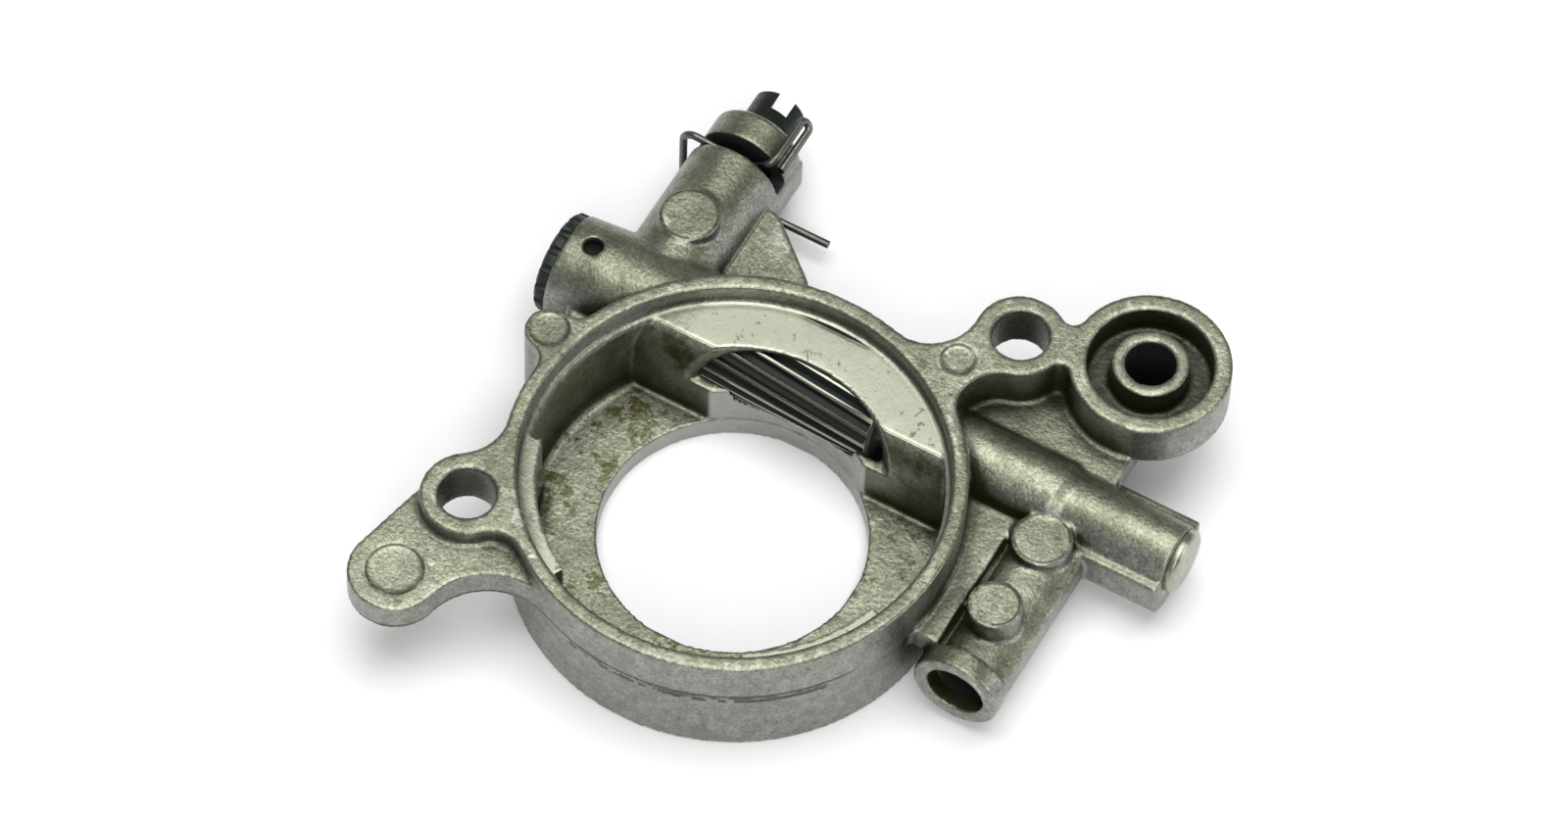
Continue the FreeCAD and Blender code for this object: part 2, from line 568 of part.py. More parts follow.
def make_outlet(body):
    """Duct under the plate, foot under the boss, seal groove round the spigot."""
    sketch = sketch_on(body, "duct", "XZ_Plane",
                       ("Sizes.passage_x", "Sizes.passage_level", "-Sizes.outlet_y"))
    add_circle(sketch, "Sizes.duct_radius")
    pad(body, sketch, "Sizes.outlet_y - Sizes.barrel_y")
    disc_pad(body, "outlet_foot", "Sizes.outlet_foot_radius", "Sizes.outlet_x", "Sizes.outlet_y",
             "Sizes.outlet_foot_level", "Sizes.parting_level - Sizes.outlet_foot_level")
    sketch = sketch_on(body, "seal_groove", "XY_Plane",
                       ("Sizes.outlet_x", "Sizes.outlet_y", "Sizes.ring_height"))
    add_circle(sketch, "Sizes.seal_groove_radius")
    add_circle(sketch, "Sizes.spigot_radius")
    pocket(body, sketch, "Sizes.seal_groove_depth")


def make_adjuster_boss(body):
    """Round boss with a square lower half, its pad, and the slot for the lock spring."""
    start = size("barrel_y")
    radius = size("adjuster_radius")
    slot = size("wire_slot_y")
    collar = size("collar_radius")
    chamfer = size("collar_chamfer")
    end = size("adjuster_end")
    sketch = sketch_on(body, "adjuster_boss", "XY_Plane", ("Sizes.adjuster_x", "0", "Sizes.barrel_level"))
    add_polygon(sketch, [(0, start), (radius, start), (radius, slot), (collar, slot),
                         (collar, end - chamfer), (collar - chamfer, end), (0, end)])
    revolve(body, sketch, "V_Axis")
    sketch = sketch_on(body, "adjuster_trough", "XZ_Plane",
                       ("Sizes.adjuster_x", "0", "-Sizes.adjuster_end"))
    add_trough(sketch, size("adjuster_radius"), size("barrel_level"), size("adjuster_bottom"),
               size("trough_corner"))
    pad(body, sketch, "Sizes.adjuster_end - Sizes.barrel_y - Sizes.barrel_radius / 2")
    disc_pad(body, "adjuster_pad", "Sizes.adjuster_pad_radius", "Sizes.adjuster_x", "Sizes.adjuster_pad_y",
             "Sizes.barrel_level", "Sizes.adjuster_radius + Sizes.adjuster_pad_rise")
    half = size("wire_slot_width") / 2
    reach = radius + collar
    for name, level, length in (
        ("wire_slot", "Sizes.ring_height", "Sizes.ring_height - Sizes.wire_slot_floor"),
        ("wire_slot_low", "Sizes.lock_low + Sizes.lock_wire + Sizes.lock_clearance", "Sizes.lock_low"),
    ):
        sketch = sketch_on(body, name, "XY_Plane", ("Sizes.adjuster_x", "Sizes.wire_slot_y", level))
        add_polygon(sketch, [(-reach, -half), (reach, -half), (reach, half), (-reach, half)])
        pocket(body, sketch, length)


def turn_seat_and_window(body):
    """Cover seat over the barrel with its two wide stretches, the worm's window down to a ledge, the
    crankshaft's hole through the root of the barrel, and the gap behind the barrel's flat."""
    sketch = sketch_on(body, "wide_seat", "XY_Plane", ("0", "0", "Sizes.floor_thickness / 2"))
    cup = size("cup_radius")
    for start, end in WIDE_SEAT_ANGLES:
        add_wall_sector(sketch, size("wide_seat_radius"), cup + size("wall_overlap") / 3, start, end)
    pad(body, sketch, "Sizes.seat_level - Sizes.floor_thickness / 2")
    disc_cut(body, "cover_seat", "Sizes.seat_radius", "0", "0", "Sizes.ring_height", "Sizes.seat_depth")
    disc_cut(body, "worm_window", "Sizes.worm_radius", "0", "0", "Sizes.ring_height", "Sizes.worm_depth")
    disc_cut(body, "root_cut", "Sizes.crank_bore_radius + Sizes.root_relief", "0", "0",
             "Sizes.worm_floor", "Sizes.worm_floor - Sizes.floor_thickness")
    disc_cut(body, "crank_hole", "Sizes.crank_bore_radius", "0", "0",
             "Sizes.floor_thickness", "Sizes.floor_thickness")
    edge = cup - size("flat_gap")
    half = math.sqrt(cup ** 2 - edge ** 2)
    sketch = sketch_on(body, "seat_gap", "XY_Plane", ("0", "0", "Sizes.seat_level"))
    add_line(sketch, (-half, edge), (half, edge))
    add_arc(sketch, (0, 0), cup, (half, edge), (-half, edge))
    pocket(body, sketch, "Sizes.seat_gap_depth")


def drill_housing(body):
    """Bores, screw holes, oil passages and ejector marks."""
    barrel = ("Sizes.barrel_y", "Sizes.barrel_level")
    bore = ("Sizes.bore_y", "Sizes.bore_level")
    for name, axis, start, end, radius in (
        ("plunger_bore", bore, "Sizes.barrel_left", "Sizes.bore_shoulder", "Sizes.plunger_bore_radius"),
        ("spring_bore", bore, "Sizes.plunger_shoulder", "Sizes.spring_bore_end",
         "Sizes.spring_bore_radius"),
        ("piston_bore", bore, "Sizes.plunger_shoulder", "Sizes.barrel_right",
         "Sizes.piston_radius + Sizes.running_clearance"),
        ("chamber_seat", barrel, "Sizes.barrel_right - Sizes.chamber_plug_depth", "Sizes.barrel_right",
         "Sizes.chamber_plug_radius"),
    ):
        sketch = sketch_on(body, name, "YZ_Plane", axis + (start,))
        add_circle(sketch, radius)
        pocket(body, sketch, "%s - (%s)" % (end, start), forwards=True)
    for name, x, level, start, length, radius in (
        ("adjuster_bore", "Sizes.adjuster_x", "Sizes.barrel_level", "-Sizes.adjuster_end",
         "Sizes.adjuster_end - Sizes.bore_y - Sizes.plunger_bore_radius / 2",
         "Sizes.screw_radius + Sizes.running_clearance"),
        ("oil_passage", "Sizes.passage_x", "Sizes.passage_level", "-Sizes.outlet_y",
         "Sizes.outlet_y - Sizes.inlet_bore_end + Sizes.passage_radius", "Sizes.passage_radius"),
        ("inlet_bore", "Sizes.inlet_x", "Sizes.inlet_bore_level", "-Sizes.inlet_bore_end",
         "Sizes.inlet_bore_end + Sizes.inlet_reach", "Sizes.inlet_bore_radius"),
        ("inlet_mouth_bore", "Sizes.inlet_x", "Sizes.inlet_level",
         "Sizes.inlet_reach - Sizes.inlet_mouth_depth", "Sizes.inlet_mouth_depth",
         "Sizes.inlet_mouth_radius"),
    ):
        sketch = sketch_on(body, name, "XZ_Plane", (x, level, start))
        add_circle(sketch, radius)
        pocket(body, sketch, length, forwards=True)
    top = "Sizes.ring_height"
    sketch = sketch_on(body, "through_holes", "XY_Plane", ("0", "0", top))
    add_placed_circle(sketch, "screw_hole_radius", 0.0, "ear_right_x", "ear_right_y")
    add_placed_circle(sketch, "screw_hole_radius", 0.0, "ear_left_x", "ear_left_y")
    add_placed_circle(sketch, "pin_radius", size("plug_fit"), "pin_x", "barrel_y")
    pocket(body, sketch, "Sizes.ring_height")
    disc_cut(body, "spigot_bore", "Sizes.spigot_bore_radius", "Sizes.outlet_x", "Sizes.outlet_y", top,
             "Sizes.ring_height - Sizes.passage_level + Sizes.passage_radius")
    deep = "Sizes.ejector_mark_depth"
    disc_cut(body, "arm_mark", "Sizes.arm_mark_radius", "Sizes.arm_x", "Sizes.arm_y",
             "Sizes.ring_height - Sizes.arm_drop", deep)
    sketch = sketch_on(body, "face_marks", "XY_Plane", ("0", "0", top))
    add_placed_circle(sketch, "neck_mark_radius", 0.0, "neck_x", "neck_mark_y")
    add_placed_circle(sketch, "post_mark_radius", 0.0, "post_x", "post_y")
    pocket(body, sketch, deep)


def make_housing():
    body = new_body("pump_housing")
    make_cup(body)
    make_barrel_in_cup(body)
    make_flange(body)
    make_chamber_end(body)
    make_inlet_block(body)
    make_webs(body)
    make_outlet(body)
    make_adjuster_boss(body)
    turn_seat_and_window(body)
    drill_housing(body)
    return body


# Plunger and what moves with it

def turned_piece(label, axis, profile):
    """Piece turned from (x, radius) corners about the axis of the barrel or of its bores."""
    body = new_body(label)
    sketch = sketch_on(body, "profile", "XZ_Plane")
    add_polygon(sketch, profile)
    revolve(body, sketch, "H_Axis")
    body.setExpression("Placement.Base.y", "Sizes.%s_y" % axis)
    body.setExpression("Placement.Base.z", "Sizes.%s_level" % axis)
    return body


def make_plunger():
    radius = size("plunger_bore_radius") - size("running_clearance")
    piston = size("piston_radius")
    neck = size("plunger_neck_radius")
    neck_end = size("neck_end")
    edge = size("edge_chamfer")
    shoulder = size("plunger_shoulder")
    end = size("piston_end")
    body = turned_piece("pump_plunger", "bore", [
        (size("cam_end"), 0.0), (size("cam_end"), radius), (shoulder - edge, radius),
        (shoulder, radius - edge), (shoulder, neck), (neck_end, neck), (neck_end, piston),
        (end - edge, piston), (end, piston - edge), (end, 0.0),
    ])
    # One leaning tooth gap, repeated round the axis
    depth = size("tooth_depth")
    pitch = 2 * math.pi * radius / size("tooth_count")
    half_root = pitch * size("tooth_root_share") / 2
    half_tip = pitch * (1 - size("tooth_tip_share")) / 2
    flank = (half_tip - half_root) / depth
    outside = radius + edge
    half_outside = half_tip + flank * edge
    sketch = sketch_on(body, "tooth_gap", "YZ_Plane", ("0", "0", "Sizes.teeth_start"))
    add_polygon(sketch, [(-half_root, radius - depth), (half_root, radius - depth),
                         (half_outside, outside), (-half_outside, outside)])
    lean = math.radians(size("tooth_lean"))
    aside = (size("teeth_end") - size("teeth_start")) / 2 * math.tan(lean)
    sketch.AttachmentOffset = FreeCAD.Placement(
        point(aside, 0, size("teeth_start")), FreeCAD.Rotation(Y_AXIS, -size("tooth_lean")))
    gap = pocket(body, sketch, "(Sizes.teeth_end - Sizes.teeth_start) / %s" % math.cos(lean), forwards=True)
    polar_pattern(body, gap, "X_Axis", "Sizes.tooth_count")
    # Slanted cam face
    slope = size("cam_rise") / 2
    over = radius + edge
    tip = size("cam_end")
    clear = tip - size("cam_rise")
    sketch = sketch_on(body, "cam_face", "XY_Plane", ("0", "0", "-Sizes.plunger_bore_radius"))
    add_polygon(sketch, [
        (clear, over), (tip + slope * (1 - over / radius), over),
        (tip + slope * (1 + over / radius), -over), (clear, -over),
    ])
    pocket(body, sketch, "2 * Sizes.plunger_bore_radius", forwards=True)
    # Valve flat on the piston
    sketch = sketch_on(body, "valve_flat", "XZ_Plane", ("0", "0", "-Sizes.piston_radius"))
    add_polygon(sketch, [
        (size("flat_start"), size("flat_offset")), (end + edge, size("flat_offset")),
        (end + edge, piston + edge), (size("flat_start"), piston + edge),
    ])
    pocket(body, sketch, "2 * Sizes.piston_radius", forwards=True)
    return body


def make_washer(label, start):
    inner = size("piston_radius") + size("washer_clearance")
    outer = size("washer_radius")
    end = start + size("washer_thickness")
    return turned_piece(label, "bore", [(start, inner), (start, outer), (end, outer), (end, inner)])


def make_return_spring():
    """Coil between the two washers."""
    start = size("neck_end") + size("washer_thickness") + size("spring_wire")
    end = size("spring_bore_end") - size("washer_thickness") - size("spring_wire")
    helix = doc.addObject("Part::Helix", "spring_path")
    helix.setExpression("Radius", "Sizes.spring_radius")
    helix.Height = end - start
    helix.Pitch = (end - start) / size("spring_turns")
    wire = doc.addObject("Part::Circle", "spring_section")
    wire.setExpression("Radius", "Sizes.spring_wire")
    wire.Placement = FreeCAD.Placement(point(size("spring_radius"), 0), FreeCAD.Rotation(X_AXIS, 90))
    coil = doc.addObject("Part::Sweep", "return_spring")
    coil.Sections = [wire]
    coil.Spine = (helix, ["Edge1"])
    coil.Solid = True
    coil.Frenet = True
    coil.Label = "return_spring"
    coil.Placement = FreeCAD.Placement(point(start, size("bore_y"), size("bore_level")),
                                       FreeCAD.Rotation(Y_AXIS, 90))
    return coil


# Plugs and pin

def make_end_plug():
    """Black plug: notched flange on the barrel's end, shank in the bore, cross hole."""
    face = size("barrel_left")
    flange = size("plug_flange_radius")
    outer = face - size("plug_flange_thickness")
    edge = size("edge_chamfer")
    body = turned_piece("end_plug", "barrel", [
        (outer, 0.0), (outer, flange - edge), (outer + edge, flange), (face, flange), (face, 0.0),
    ])
    sketch = sketch_on(body, "notch", "YZ_Plane",
                       ("0", "Sizes.plug_flange_radius", "Sizes.barrel_left - Sizes.plug_flange_thickness"))
    add_circle(sketch, "Sizes.plug_notch_radius")
    notch = pocket(body, sketch, "Sizes.plug_flange_thickness", forwards=True)
    polar_pattern(body, notch, "X_Axis", "Sizes.plug_notch_count")
    sketch = sketch_on(body, "shank", "YZ_Plane", (
        "Sizes.bore_y - Sizes.barrel_y", "Sizes.bore_level - Sizes.barrel_level", "Sizes.barrel_left"))
    add_circle(sketch, "Sizes.plunger_bore_radius - Sizes.plug_fit")
    pad(body, sketch, "Sizes.plug_length")
    sketch = sketch_on(body, "pin_hole", "XY_Plane", ("Sizes.pin_x", "0", "Sizes.barrel_radius"))
    add_circle(sketch, "Sizes.pin_radius + Sizes.plug_fit")
    pocket(body, sketch, "2 * Sizes.barrel_radius")
    return body


def make_plug_pin():
    pin = doc.addObject("Part::Cylinder", "plug_pin")
    pin.Label = "plug_pin"
    pin.setExpression("Radius", "Sizes.pin_radius")
    pin.setExpression("Height", "2 * Sizes.pin_half_length")
    pin.setExpression("Placement.Base.x", "Sizes.pin_x")
    pin.setExpression("Placement.Base.y", "Sizes.barrel_y")
    pin.setExpression("Placement.Base.z", "Sizes.barrel_level - Sizes.pin_half_length")
    return pin


def make_chamber_plug():
    face = size("barrel_right")
    shank = size("chamber_plug_radius") - size("plug_fit")
    head = size("chamber_plug_head")
    inner = face - size("chamber_plug_depth") + size("chamber_plug_gap")
    outer = face + size("chamber_plug_rise")
    edge = size("edge_chamfer")
    return turned_piece("chamber_plug", "barrel", [
        (inner, 0.0), (inner, shank), (face, shank), (face, head), (outer - edge, head),
        (outer, head - edge), (outer, 0.0),
    ])


# Adjuster

def make_adjuster_screw():
    """Turned about Y: body with a seal groove and a lock groove, slotted head, off-centre nose."""
    body = new_body("adjuster_screw")
    radius = size("screw_radius")
    groove = size("screw_groove_radius")
    slot_side = size("wire_slot_width") / 2 + size("screw_groove_margin")
    middle = size("wire_slot_y")
    seal = size("seal_start")
    floor = size("seal_groove_floor")
    seal_end = seal + size("seal_width")
    inner = size("screw_inner_end")
    head = size("screw_head_radius")
    step = size("adjuster_end") - size("screw_step_depth")
    end = size("screw_head_end")
    edge = size("edge_chamfer")
    sketch = sketch_on(body, "profile", "XY_Plane")
    add_polygon(sketch, [
        (0.0, inner), (radius - edge, inner), (radius, inner + edge), (radius, seal), (floor, seal),
        (floor, seal_end), (radius, seal_end), (radius, middle - slot_side),
        (groove, middle - slot_side), (groove, middle + slot_side), (radius, middle + slot_side),
        (radius, step), (head, step), (head, end - edge), (head - edge, end), (0.0, end),
    ])
    revolve(body, sketch, "V_Axis")
    sketch = sketch_on(body, "nose", "XZ_Plane",
                       ("Sizes.nose_offset", "0", "-Sizes.screw_inner_end - Sizes.edge_chamfer"))
    add_circle(sketch, "Sizes.nose_radius")
    pad(body, sketch, "Sizes.screw_inner_end + Sizes.edge_chamfer - Sizes.nose_end")
    half = size("screw_slot_width") / 2
    reach = head + edge
    sketch = sketch_on(body, "driver_slot", "XZ_Plane", ("0", "0", "-Sizes.screw_head_end"),
                       -size("screw_slot_turn"))
    add_polygon(sketch, [(-half, -reach), (half, -reach), (half, reach), (-half, reach)])
    pocket(body, sketch, "Sizes.screw_slot_depth", forwards=True)
    body.setExpression("Placement.Base.x", "Sizes.adjuster_x")
    body.setExpression("Placement.Base.z", "Sizes.barrel_level")
    return body


def make_adjuster_seal():
    """Ring that fills the seal groove from its floor to the bore."""
    floor = size("seal_groove_floor")
    gap = size("seal_gap")
    section = (size("screw_radius") + size("running_clearance") - floor) / 2 - gap
    seal = doc.addObject("Part::Torus", "adjuster_o_ring")
    seal.Label = "adjuster_o_ring"
    seal.Radius1 = floor + section + gap
    seal.Radius2 = section
    seal.Placement = FreeCAD.Placement(
        point(size("adjuster_x"), size("seal_start") + size("seal_width") / 2, size("barrel_level")),
        FreeCAD.Rotation(X_AXIS, 90))
    return seal


def bent_path(corners, bends):
    """Straight runs joined by tangent arcs, with one bend radius for each inner corner."""
    edges = []
    here = corners[0]
    for before, corner, after, bend in zip(corners, corners[1:], corners[2:], bends):
        into = (corner - before).normalize()
        out = (after - corner).normalize()
        turn = into.getAngle(out)
        cut = bend * math.tan(turn / 2)
        start = corner - into * cut
        end = corner + out * cut
        inward = (out - into).normalize()
        middle = corner + inward * (bend / math.cos(turn / 2) - bend)
        edges.append(Part.LineSegment(here, start).toShape())
        edges.append(Part.Arc(start, middle, end).toShape())
        here = end
    edges.append(Part.LineSegment(here, corners[-1]).toShape())
    return Part.Wire(edges)


def make_lock_spring():
    """Wire clip: a loop round the boss in its slot, a hairpin hook along the boss, a free tail."""
    slot = size("wire_slot_y")
    left = size("lock_left")
    low = size("lock_low")
    round_boss = size("adjuster_radius") + size("lock_wire") + size("lock_clearance")
    hook_end = size("lock_hook_end")
    first = polar(round_boss, size("hook_angle"))
    second = polar(round_boss, size("hook_return_angle"))
    x = size("adjuster_x")
    axis = size("barrel_level")
    corners = [
        point(size("lock_tail"), slot, low), point(left, slot, low),
        point(left, slot, size("lock_high")), point(size("lock_rise_x"), slot, size("lock_pass")),
        point(x + first[0], slot, axis + first[1]), point(x + first[0], hook_end, axis + first[1]),
        point(x + second[0], hook_end, axis + second[1]),
        point(x + second[0], slot + size("hook_stop"), axis + second[1]),
    ]
    bend = size("lock_bend")
    tip_bend = corners[5].distanceToPoint(corners[6]) * size("hook_turn_share")
    path = bent_path(corners, [bend, bend, bend, bend, tip_bend, tip_bend])
    section = Part.Wire([Part.Circle(corners[0], X_AXIS, size("lock_wire")).toShape()])
    spring = doc.addObject("Part::Feature", "lock_spring")
    spring.Label = "lock_spring"
    spring.Shape = path.makePipeShell([section], True, True)
    spring.Placement = FreeCAD.Placement()
    return spring


pieces = [
    make_housing(),
    make_plunger(),
    make_washer("thrust_washer", size("neck_end")),
    make_washer("spring_seat", size("spring_bore_end") - size("washer_thickness")),
    make_return_spring(),
    make_end_plug(),
    make_plug_pin(),
    make_adjuster_screw(),
    make_adjuster_seal(),
    make_lock_spring(),
    make_chamber_plug(),
]
doc.recompute()

for item in doc.Objects:
    if "Invalid" in item.State or "Error" in item.State:
        raise RuntimeError(item.Name + " failed: " + str(item.State))
for piece in pieces:
    if piece.Shape.isNull() or not piece.Shape.isValid():
        raise RuntimeError(piece.Label + " has no valid shape")
    print(piece.Label, len(piece.Shape.Solids), "solid", round(piece.Shape.Volume, 1), "mm3")

os.makedirs("parts", exist_ok=True)
for piece in pieces:
    piece.Shape.exportStep("parts/%s.step" % piece.Label)
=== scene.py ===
"""Looks of the chainsaw oil pump: cast aluminium, oiled steel, black fittings, pale floor."""
import math

import bpy
from bpy.props import FloatProperty, FloatVectorProperty, IntProperty, PointerProperty
from mathutils import Matrix, Vector


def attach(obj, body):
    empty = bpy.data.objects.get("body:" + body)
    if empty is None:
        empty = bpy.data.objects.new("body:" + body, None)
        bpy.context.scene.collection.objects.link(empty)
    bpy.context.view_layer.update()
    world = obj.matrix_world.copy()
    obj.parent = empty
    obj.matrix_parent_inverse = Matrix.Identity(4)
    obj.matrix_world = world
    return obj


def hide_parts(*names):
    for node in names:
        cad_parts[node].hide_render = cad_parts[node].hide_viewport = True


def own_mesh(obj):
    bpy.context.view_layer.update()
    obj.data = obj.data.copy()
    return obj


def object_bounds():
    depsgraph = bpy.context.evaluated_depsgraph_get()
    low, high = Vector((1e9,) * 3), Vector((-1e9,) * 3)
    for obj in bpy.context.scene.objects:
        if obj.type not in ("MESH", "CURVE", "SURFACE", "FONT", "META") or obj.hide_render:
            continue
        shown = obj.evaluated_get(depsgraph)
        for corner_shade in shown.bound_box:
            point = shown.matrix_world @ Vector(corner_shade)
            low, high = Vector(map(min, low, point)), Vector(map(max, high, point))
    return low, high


bl_info = {
    "name": "Chainsaw Oil Pump",
    "version": (1, 0, 0),
    "blender": (4, 5, 0),
    "location": "View3D > Sidebar > Oil Pump",
    "description": "Dresses the oil pump's pieces and sets up its studio",
    "category": "Object",
}

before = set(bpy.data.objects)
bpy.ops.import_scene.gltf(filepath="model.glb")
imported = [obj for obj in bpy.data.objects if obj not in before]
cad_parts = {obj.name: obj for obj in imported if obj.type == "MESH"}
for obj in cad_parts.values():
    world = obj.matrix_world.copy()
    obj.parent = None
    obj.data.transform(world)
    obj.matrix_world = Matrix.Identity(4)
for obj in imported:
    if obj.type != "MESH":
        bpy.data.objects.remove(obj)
CAD_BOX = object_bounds()
MM = 0.001

# Levels and radii of the cup, in millimetres from the back face and from the crankshaft's axis
TOP_LEVEL = 14.3
SEAT_LEVEL = 12.0
SEAT_RADIUS = 20.9
RING_RADIUS = 22.5
# Inner radius of the two wide stretches of the cover seat: in the solid, and as the scene has it
WIDE_SEAT = (18.75, 19.03)
# The seat's turned finish is faded to 0.45 left of the first place, as painted shade against the
# lamp's reflection there, and is full right of the second
SEAT_PAINTED_DIMMING = (-14.0, -11.0)
# Gap between the cup and the flat on the barrel, whose inside is painted black as shade
GAP_RADIUS = 20.3
GAP_EDGE = 20.0
# Parting step on the cup's front, with its shadow painted as a dark line at the parting level,
# and the pits under it
PARTING_LEVEL = 9.4
FRONT_EDGE = (-9.0, -13.0)
PIT_ENDS = (-6.0, 18.0)

# Round places, in millimetres: two coordinates of the axis and a radius
CUP_AXIS = (0.0, 0.0, 1.0)
CRANK_HOLE = (0.0, 0.0, 13.8)
OUTLET = (28.8, 30.78, 2.5)
SEAL_GROOVE = (28.8, 30.78, 6.2)
PIN_HOLE = (-24.95, 16.2, 0.98)
PLUNGER_BORE = (15.9, 7.3, 4.2)
INLET_BORE = (28.05, 5.75, 2.55)
ADJUSTER = (-18.75, 7.65, 4.9)
EJECTOR_MARKS = (
    (-23.1, -24.9, 2.75), (12.5, 21.8, 1.7), (-23.48, 5.05, 1.95),
    (28.05, 10.55, 2.7), (28.05, 0.93, 2.35), (-18.75, 24.3, 2.8))

# Ends of the bores, and the middle and half width of the slot for the lock wire
BORE_ENDS = (-24.0, 10.0)
INLET_ENDS = (-6.2, 8.5)
WIRE_SLOT = (34.15, 0.85)
# Middle and half length of the plunger's teeth
TOOTHED_PART = (-2.4, 10.6)

# Texture scales: higher is finer
SKIN_SCALE = 2200.0
GRIT_SCALE = 3600.0
MOTTLE_SCALE = 700.0
CHIP_SCALE = 1500.0
WEAR_SCALE = 500.0
BLOTCH_SCALE = 260.0
FINE_STAIN_SCALE = 620.0
SPECK_SCALE = 1100.0
SCRATCH_SCALE = 190.0
BROKEN_SCRATCH_SCALE = 300.0
PIT_SCALE = 620.0
BROKEN_RING_SCALE = 420.0

# How far the surface looks for shade, in millimetres: in a fillet and in a cavity
FILLET_REACH = 2.5
CAVITY_REACH = 10.0

# Camera, in millimetres and as the directions of its sides
CAMERA_PLACE = (211.035, -398.704, 728.678)
CAMERA_RIGHT = (0.87182, 0.48932, 0.02216)
CAMERA_UP = (-0.42258, 0.72850, 0.53918)
CAMERA_BACK = (0.24769, -0.47943, 0.84190)

# Lights: name, place in metres, side in metres and share of the key light's power
LIGHTS = (
    ("key_light", (0.0, 0.05, 0.92), 0.8, 1.0),
    ("front_light", (0.32, -0.60, 0.60), 0.5, 0.45),
    ("side_light", (0.85, 0.25, 0.25), 0.4, 0.2))
LIGHT_AIM = (0.0, 0.005, 0.005)

SMOOTH_ANGLE = math.radians(35)
MERGE_DISTANCE = 1e-6


def colour(name, description, default):
    """Property for a linear colour."""
    return FloatVectorProperty(
        name=name, description=description, subtype="COLOR", size=3, min=0.0, max=1.0,
        default=default)


class PumpFinish(bpy.types.PropertyGroup):
    """Colours and surface sizes of the pump's pieces."""

    cast_light: colour("Cast light", "Lighter tone of the die casting", (0.275, 0.293, 0.215))
    cast_dark: colour("Cast dark", "Darker tone of the die casting", (0.18, 0.193, 0.137))
    # Upright sides get a tone of their own: painted light for how the lamps and the floor light
    # them
    side_tone_painted_light: colour("Cast side", "Tone of the casting's upright sides", (0.228, 0.229, 0.216))
    turned: colour("Turned", "Freshly turned aluminium", (0.45, 0.475, 0.37))
    bored: colour("Bored", "Bored wall of the crank hole", (0.40, 0.385, 0.39))
    # Rubbed edges: real wear with a painted edge highlight
    rubbed: colour("Rubbed", "Bright metal on rubbed edges", (0.55, 0.57, 0.48))
    stain: colour("Stain", "Brown stains on the casting", (0.068, 0.062, 0.018))
    # Near-black tone of old oil, also used as painted shade in corners, cavities and on the
    # cup's inner walls
    oil: colour("Oil", "Old oil in the corners", (0.013, 0.0135, 0.004))
    # The black tone also paints the insides of holes, the wire's slot and the gap as shade
    black: colour("Black", "Black plug and adjuster", (0.006, 0.010, 0.008))
    steel: colour("Steel", "Plunger and spring steel", (0.30, 0.31, 0.25))
    wire: colour("Wire", "Lock spring", (0.16, 0.17, 0.15))
    cast_voxel: FloatProperty(
        name="Casting detail", description="Grid that rounds the casting's edges",
        subtype="DISTANCE", unit="LENGTH", min=0.0001, default=0.00024)
    cast_faces: IntProperty(
        name="Casting faces", description="Most triangles in the casting", min=20000,
        default=190000)
    edge_round: FloatProperty(
        name="Edge rounding", description="Broken edges of the small pieces",
        subtype="DISTANCE", unit="LENGTH", min=0.0, default=0.00012)


class PumpStudio(bpy.types.PropertyGroup):
    """Floor, lights and camera."""

    floor: colour("Floor", "Pale floor", (0.90, 0.90, 0.90))
    floor_size: FloatProperty(
        name="Floor size", description="Side of the floor", subtype="DISTANCE", unit="LENGTH",
        default=4.0)
    lens: FloatProperty(name="Lens", description="Focal length in millimetres", default=202.5)
    key_power: FloatProperty(
        name="Key light", description="Power of the large light over the pump",
        subtype="POWER", default=8.0)
    sky_strength: FloatProperty(name="Sky", description="Strength of the soft sky", default=0.28)


# Small tools

def select_only(piece):
    bpy.ops.object.select_all(action="DESELECT")
    piece.select_set(True)
    bpy.context.view_layer.objects.active = piece


def apply_modifier(piece, name, kind, **settings):
    modifier = piece.modifiers.new(name, kind)
    for key, value in settings.items():
        setattr(modifier, key, value)
    select_only(piece)
    bpy.ops.object.modifier_apply(modifier=name)


def give_material(piece, material):
    piece.data.materials.clear()
    piece.data.materials.append(material)


def copy_node(context, node, name):
    """Merged copy of a CAD node's mesh under a new name, free of its parent."""
    select_only(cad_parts[node])
    bpy.ops.object.duplicate()
    piece = context.object
    piece.name = name
    piece.parent = None
    bpy.ops.object.mode_set(mode="EDIT")
    bpy.ops.mesh.select_all(action="SELECT")
    bpy.ops.mesh.remove_doubles(threshold=MERGE_DISTANCE)
    bpy.ops.mesh.select_all(action="DESELECT")
    bpy.ops.object.mode_set(mode="OBJECT")
    return piece


def soften_node(name, width):
    """Welds and bevels a CAD node through modifiers, so that its edges catch the light."""
    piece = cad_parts[name]
    weld = piece.modifiers.new("weld", "WELD")
    weld.merge_threshold = MERGE_DISTANCE
    bevel = piece.modifiers.new("bevel", "BEVEL")
    bevel.width = width
    bevel.segments = 2
    bevel.limit_method = "ANGLE"
    bevel.angle_limit = SMOOTH_ANGLE
    bevel.harden_normals = True
    select_only(piece)
    bpy.ops.object.shade_smooth_by_angle(angle=SMOOTH_ANGLE)
    return piece


# Node tools

def add_node(tree, kind, **settings):
    node = tree.nodes.new(kind)
    for key, value in settings.items():
        setattr(node, key, value)
    return node


def feed(tree, value, socket):
    """Links an output to the socket, or sets a plain value on it."""
    if isinstance(value, bpy.types.NodeSocket):
        tree.links.new(value, socket)
    else:
        socket.default_value = value


def calc(tree, operation, *values, clamp=False):
    node = add_node(tree, "ShaderNodeMath", operation=operation, use_clamp=clamp)
    for socket, value in zip(node.inputs, values):
        feed(tree, value, socket)
    return node.outputs[0]


